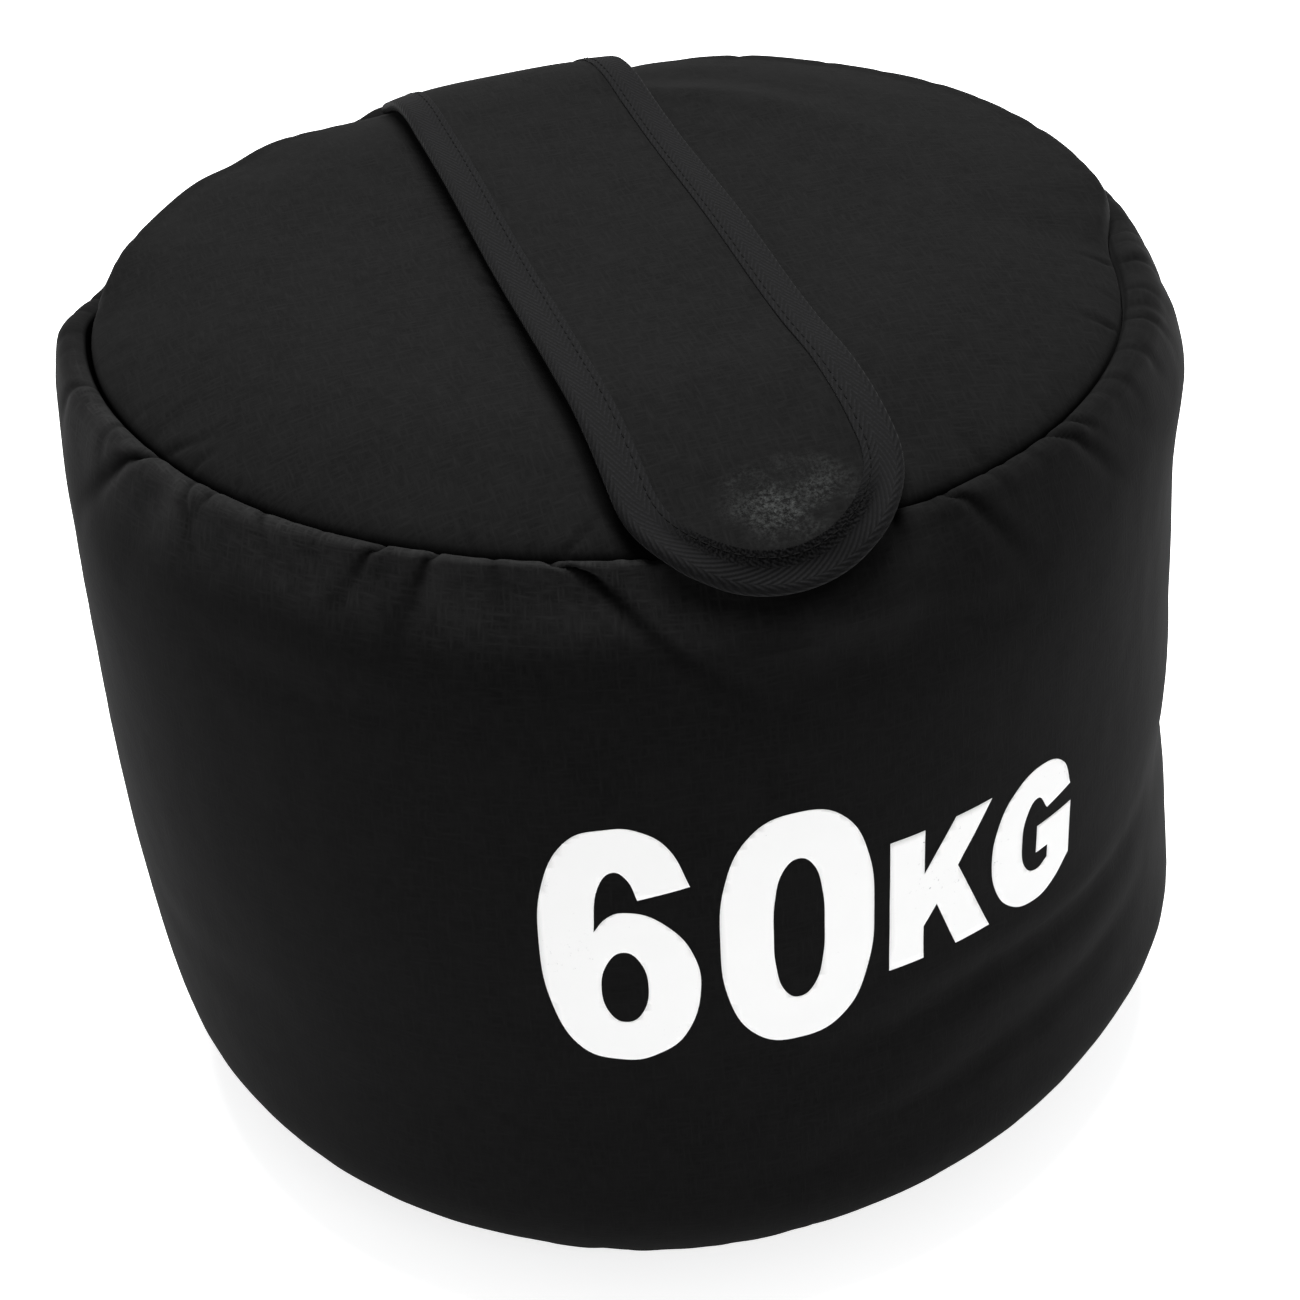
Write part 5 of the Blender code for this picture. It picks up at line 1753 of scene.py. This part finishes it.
class SANDBAG_OT_flap(bpy.types.Operator):
    """Make the closing flap with its binding and stitching"""

    bl_idname = "sandbag.flap"
    bl_label = "Closing flap"

    def execute(self, context):
        cloth = context.scene.sandbag_cloth
        flap = context.scene.sandbag_flap
        cover = make_flap_layer(flap, COVER, flap_canvas(cloth))
        under = make_flap_layer(flap, UNDERSIDE, finish("polyester_lining_black"))
        binding = make_binding(flap, twill_tape(cloth))
        stitches = make_flap_stitches(flap, finish("polyester_thread_black"))
        rows = ((cover, "canvas"), (under, "lining"), (binding, "flap_tape"), (stitches, "flap_tape"))
        for piece, slot in rows:
            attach(piece, "flap")
        return {"FINISHED"}


class SANDBAG_OT_closure(bpy.types.Operator):
    """Make the hook and loop patches, the zip's tapes, teeth, slider and pull, and their stitching"""

    bl_idname = "sandbag.closure"
    bl_label = "Zip and patches"

    def execute(self, context):
        pile = finish("nylon_hook_and_loop_black")
        woven = finish("polyester_zip_tape_black")
        loop = make_patch("loop_tape", "loop_patch", pile)
        hook = make_patch("hook_tape", "hook_patch", pile)
        rows = [
            (loop, "bag", "hook_and_loop"),
            (hook, "flap", "hook_and_loop"),
            (make_zip_tape("zip_cloth_left", "zip_tape_left", woven), "bag", "zip_tape"),
            (make_zip_tape("zip_cloth_right", "zip_tape_right", woven), "bag", "zip_tape"),
            (make_pull_tab(finish("nylon_webbing_black")), "slider", "pull_webbing"),
        ]
        thread = bpy.data.materials["polyester_thread_black"]
        tops = [bpy.data.objects["canvas_top_left"], bpy.data.objects["canvas_top_right"]]
        side, front = SLOT_HALF_WIDTH + SLOT_STITCH_AWAY, SLOT_FRONT - SLOT_STITCH_AWAY
        round_slot = [place * MM for place in (-side, front, side, SLOT_BACK + SLOT_STITCH_AWAY)]
        rows.append((sewn_on("zip_stitches", tops, round_slot, 1, thread), "bag", "canvas"))
        inset = PATCH_STITCH_INSET * MM
        for patch, node, side, body in ((loop, "loop_patch", 1, "bag"), (hook, "hook_patch", -1, "flap")):
            low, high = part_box(node)
            edge = (low.x + inset, low.y + inset, high.x - inset, high.y - inset)
            stitches = sewn_on(f"{patch.name}_stitches", [patch], edge, side, thread)
            rows.append((stitches, body, "hook_and_loop"))
        for piece, body, slot in rows:
            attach(piece, body)
        acetal = finish("acetal_moulded_black")
        for part in ("teeth_left", "teeth_right", "top_stop_left", "top_stop_right", "bottom_stop"):
            dress(f"zip_{part}", acetal)
        dress("zip_slider", finish("zinc_cast_black_enamel"))
        dress("zip_pull_ring", finish("steel_nickel_plated"))
        return {"FINISHED"}


class SANDBAG_OT_inside(bpy.types.Operator):
    """Finish the seam tapes, the liner and the sand inside the bag"""

    bl_idname = "sandbag.inside"
    bl_label = "Inside"

    def execute(self, context):
        tape = finish("cotton_tape_black")
        rows = (
            ("seam_tape_top", "top_seam_binding", tape, "seam_tape", 1.4),
            ("seam_tape_foot", "base_seam_binding", tape, "seam_tape", 1.0),
            ("seam_tape_side", "side_seam_binding", tape, "seam_tape", 2.0),
            ("liner_cloth", "liner_bag", finish("polypropylene_woven_grey"), "liner_cloth", 3.2),
            ("liner_cord", "liner_tie", finish("polyester_cord_white"), "tie_cord", 3.2),
            ("sand_body", "sand_fill", finish("quartz_sand_dry"), "sand", 3.6),
        )
        for name, node, material, slot, draw_in in rows:
            piece = carried(name, node, material, draw_in)
            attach(piece, "bag")
        return {"FINISHED"}


class SANDBAG_OT_mark(bpy.types.Operator):
    """Print the weight on the front of the wall"""

    bl_idname = "sandbag.mark"
    bl_label = "Weight mark"

    def execute(self, context):
        mark = context.scene.sandbag_mark
        ink = make_mark(mark, bpy.data.objects["canvas_wall"], screen_ink(mark))
        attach(ink, "bag")
        return {"FINISHED"}


class SANDBAG_OT_stage(bpy.types.Operator):
    """Set the camera, the lights and the floor"""

    bl_idname = "sandbag.stage"
    bl_label = "Stage"

    def execute(self, context):
        stage = context.scene.sandbag_stage
        context.scene.view_settings.view_transform = "Standard"
        lens = bpy.data.cameras.new("camera")
        lens.lens = stage.lens
        camera = bpy.data.objects.new("camera", lens)
        camera.matrix_world = Matrix(CAMERA_PLACE)
        context.scene.collection.objects.link(camera)
        context.scene.camera = camera
        bm = bmesh.new()
        bmesh.ops.create_grid(bm, x_segments=1, y_segments=1, size=FLOOR_SIZE)
        new_object("floor", bm, painted_floor(stage))
        place_light("key_light", *KEY_LIGHT, stage.key_power)
        place_light("fill_light", *FILL_LIGHT, stage.fill_power)
        white_room(context.scene, stage)
        return {"FINISHED"}


OPERATORS = (
    SANDBAG_OT_shell,
    SANDBAG_OT_flap,
    SANDBAG_OT_closure,
    SANDBAG_OT_inside,
    SANDBAG_OT_mark,
    SANDBAG_OT_stage,
)


class SANDBAG_PT_panel(bpy.types.Panel):
    """Lists the steps that make the sandbag"""

    bl_idname = "SANDBAG_PT_panel"
    bl_label = "Sandbag"
    bl_space_type = "VIEW_3D"
    bl_region_type = "UI"
    bl_category = "Sandbag"

    def draw(self, context):
        for name, group in GROUPS.items():
            box = self.layout.box()
            for setting in group.__annotations__:
                box.prop(getattr(context.scene, name), setting)
        for operator in OPERATORS:
            self.layout.operator(operator.bl_idname)


def register():
    for name, group in GROUPS.items():
        bpy.utils.register_class(group)
        setattr(bpy.types.Scene, name, bpy.props.PointerProperty(type=group))
    for part in (*OPERATORS, SANDBAG_PT_panel):
        bpy.utils.register_class(part)


def unregister():
    for part in (SANDBAG_PT_panel, *OPERATORS[::-1]):
        bpy.utils.unregister_class(part)
    for name, group in reversed(GROUPS.items()):
        delattr(bpy.types.Scene, name)
        bpy.utils.unregister_class(group)


def main():
    register()
    bpy.ops.sandbag.shell()
    bpy.ops.sandbag.flap()
    bpy.ops.sandbag.closure()
    bpy.ops.sandbag.inside()
    bpy.ops.sandbag.mark()
    bpy.ops.sandbag.stage()


if __name__ == "__main__":
    main()
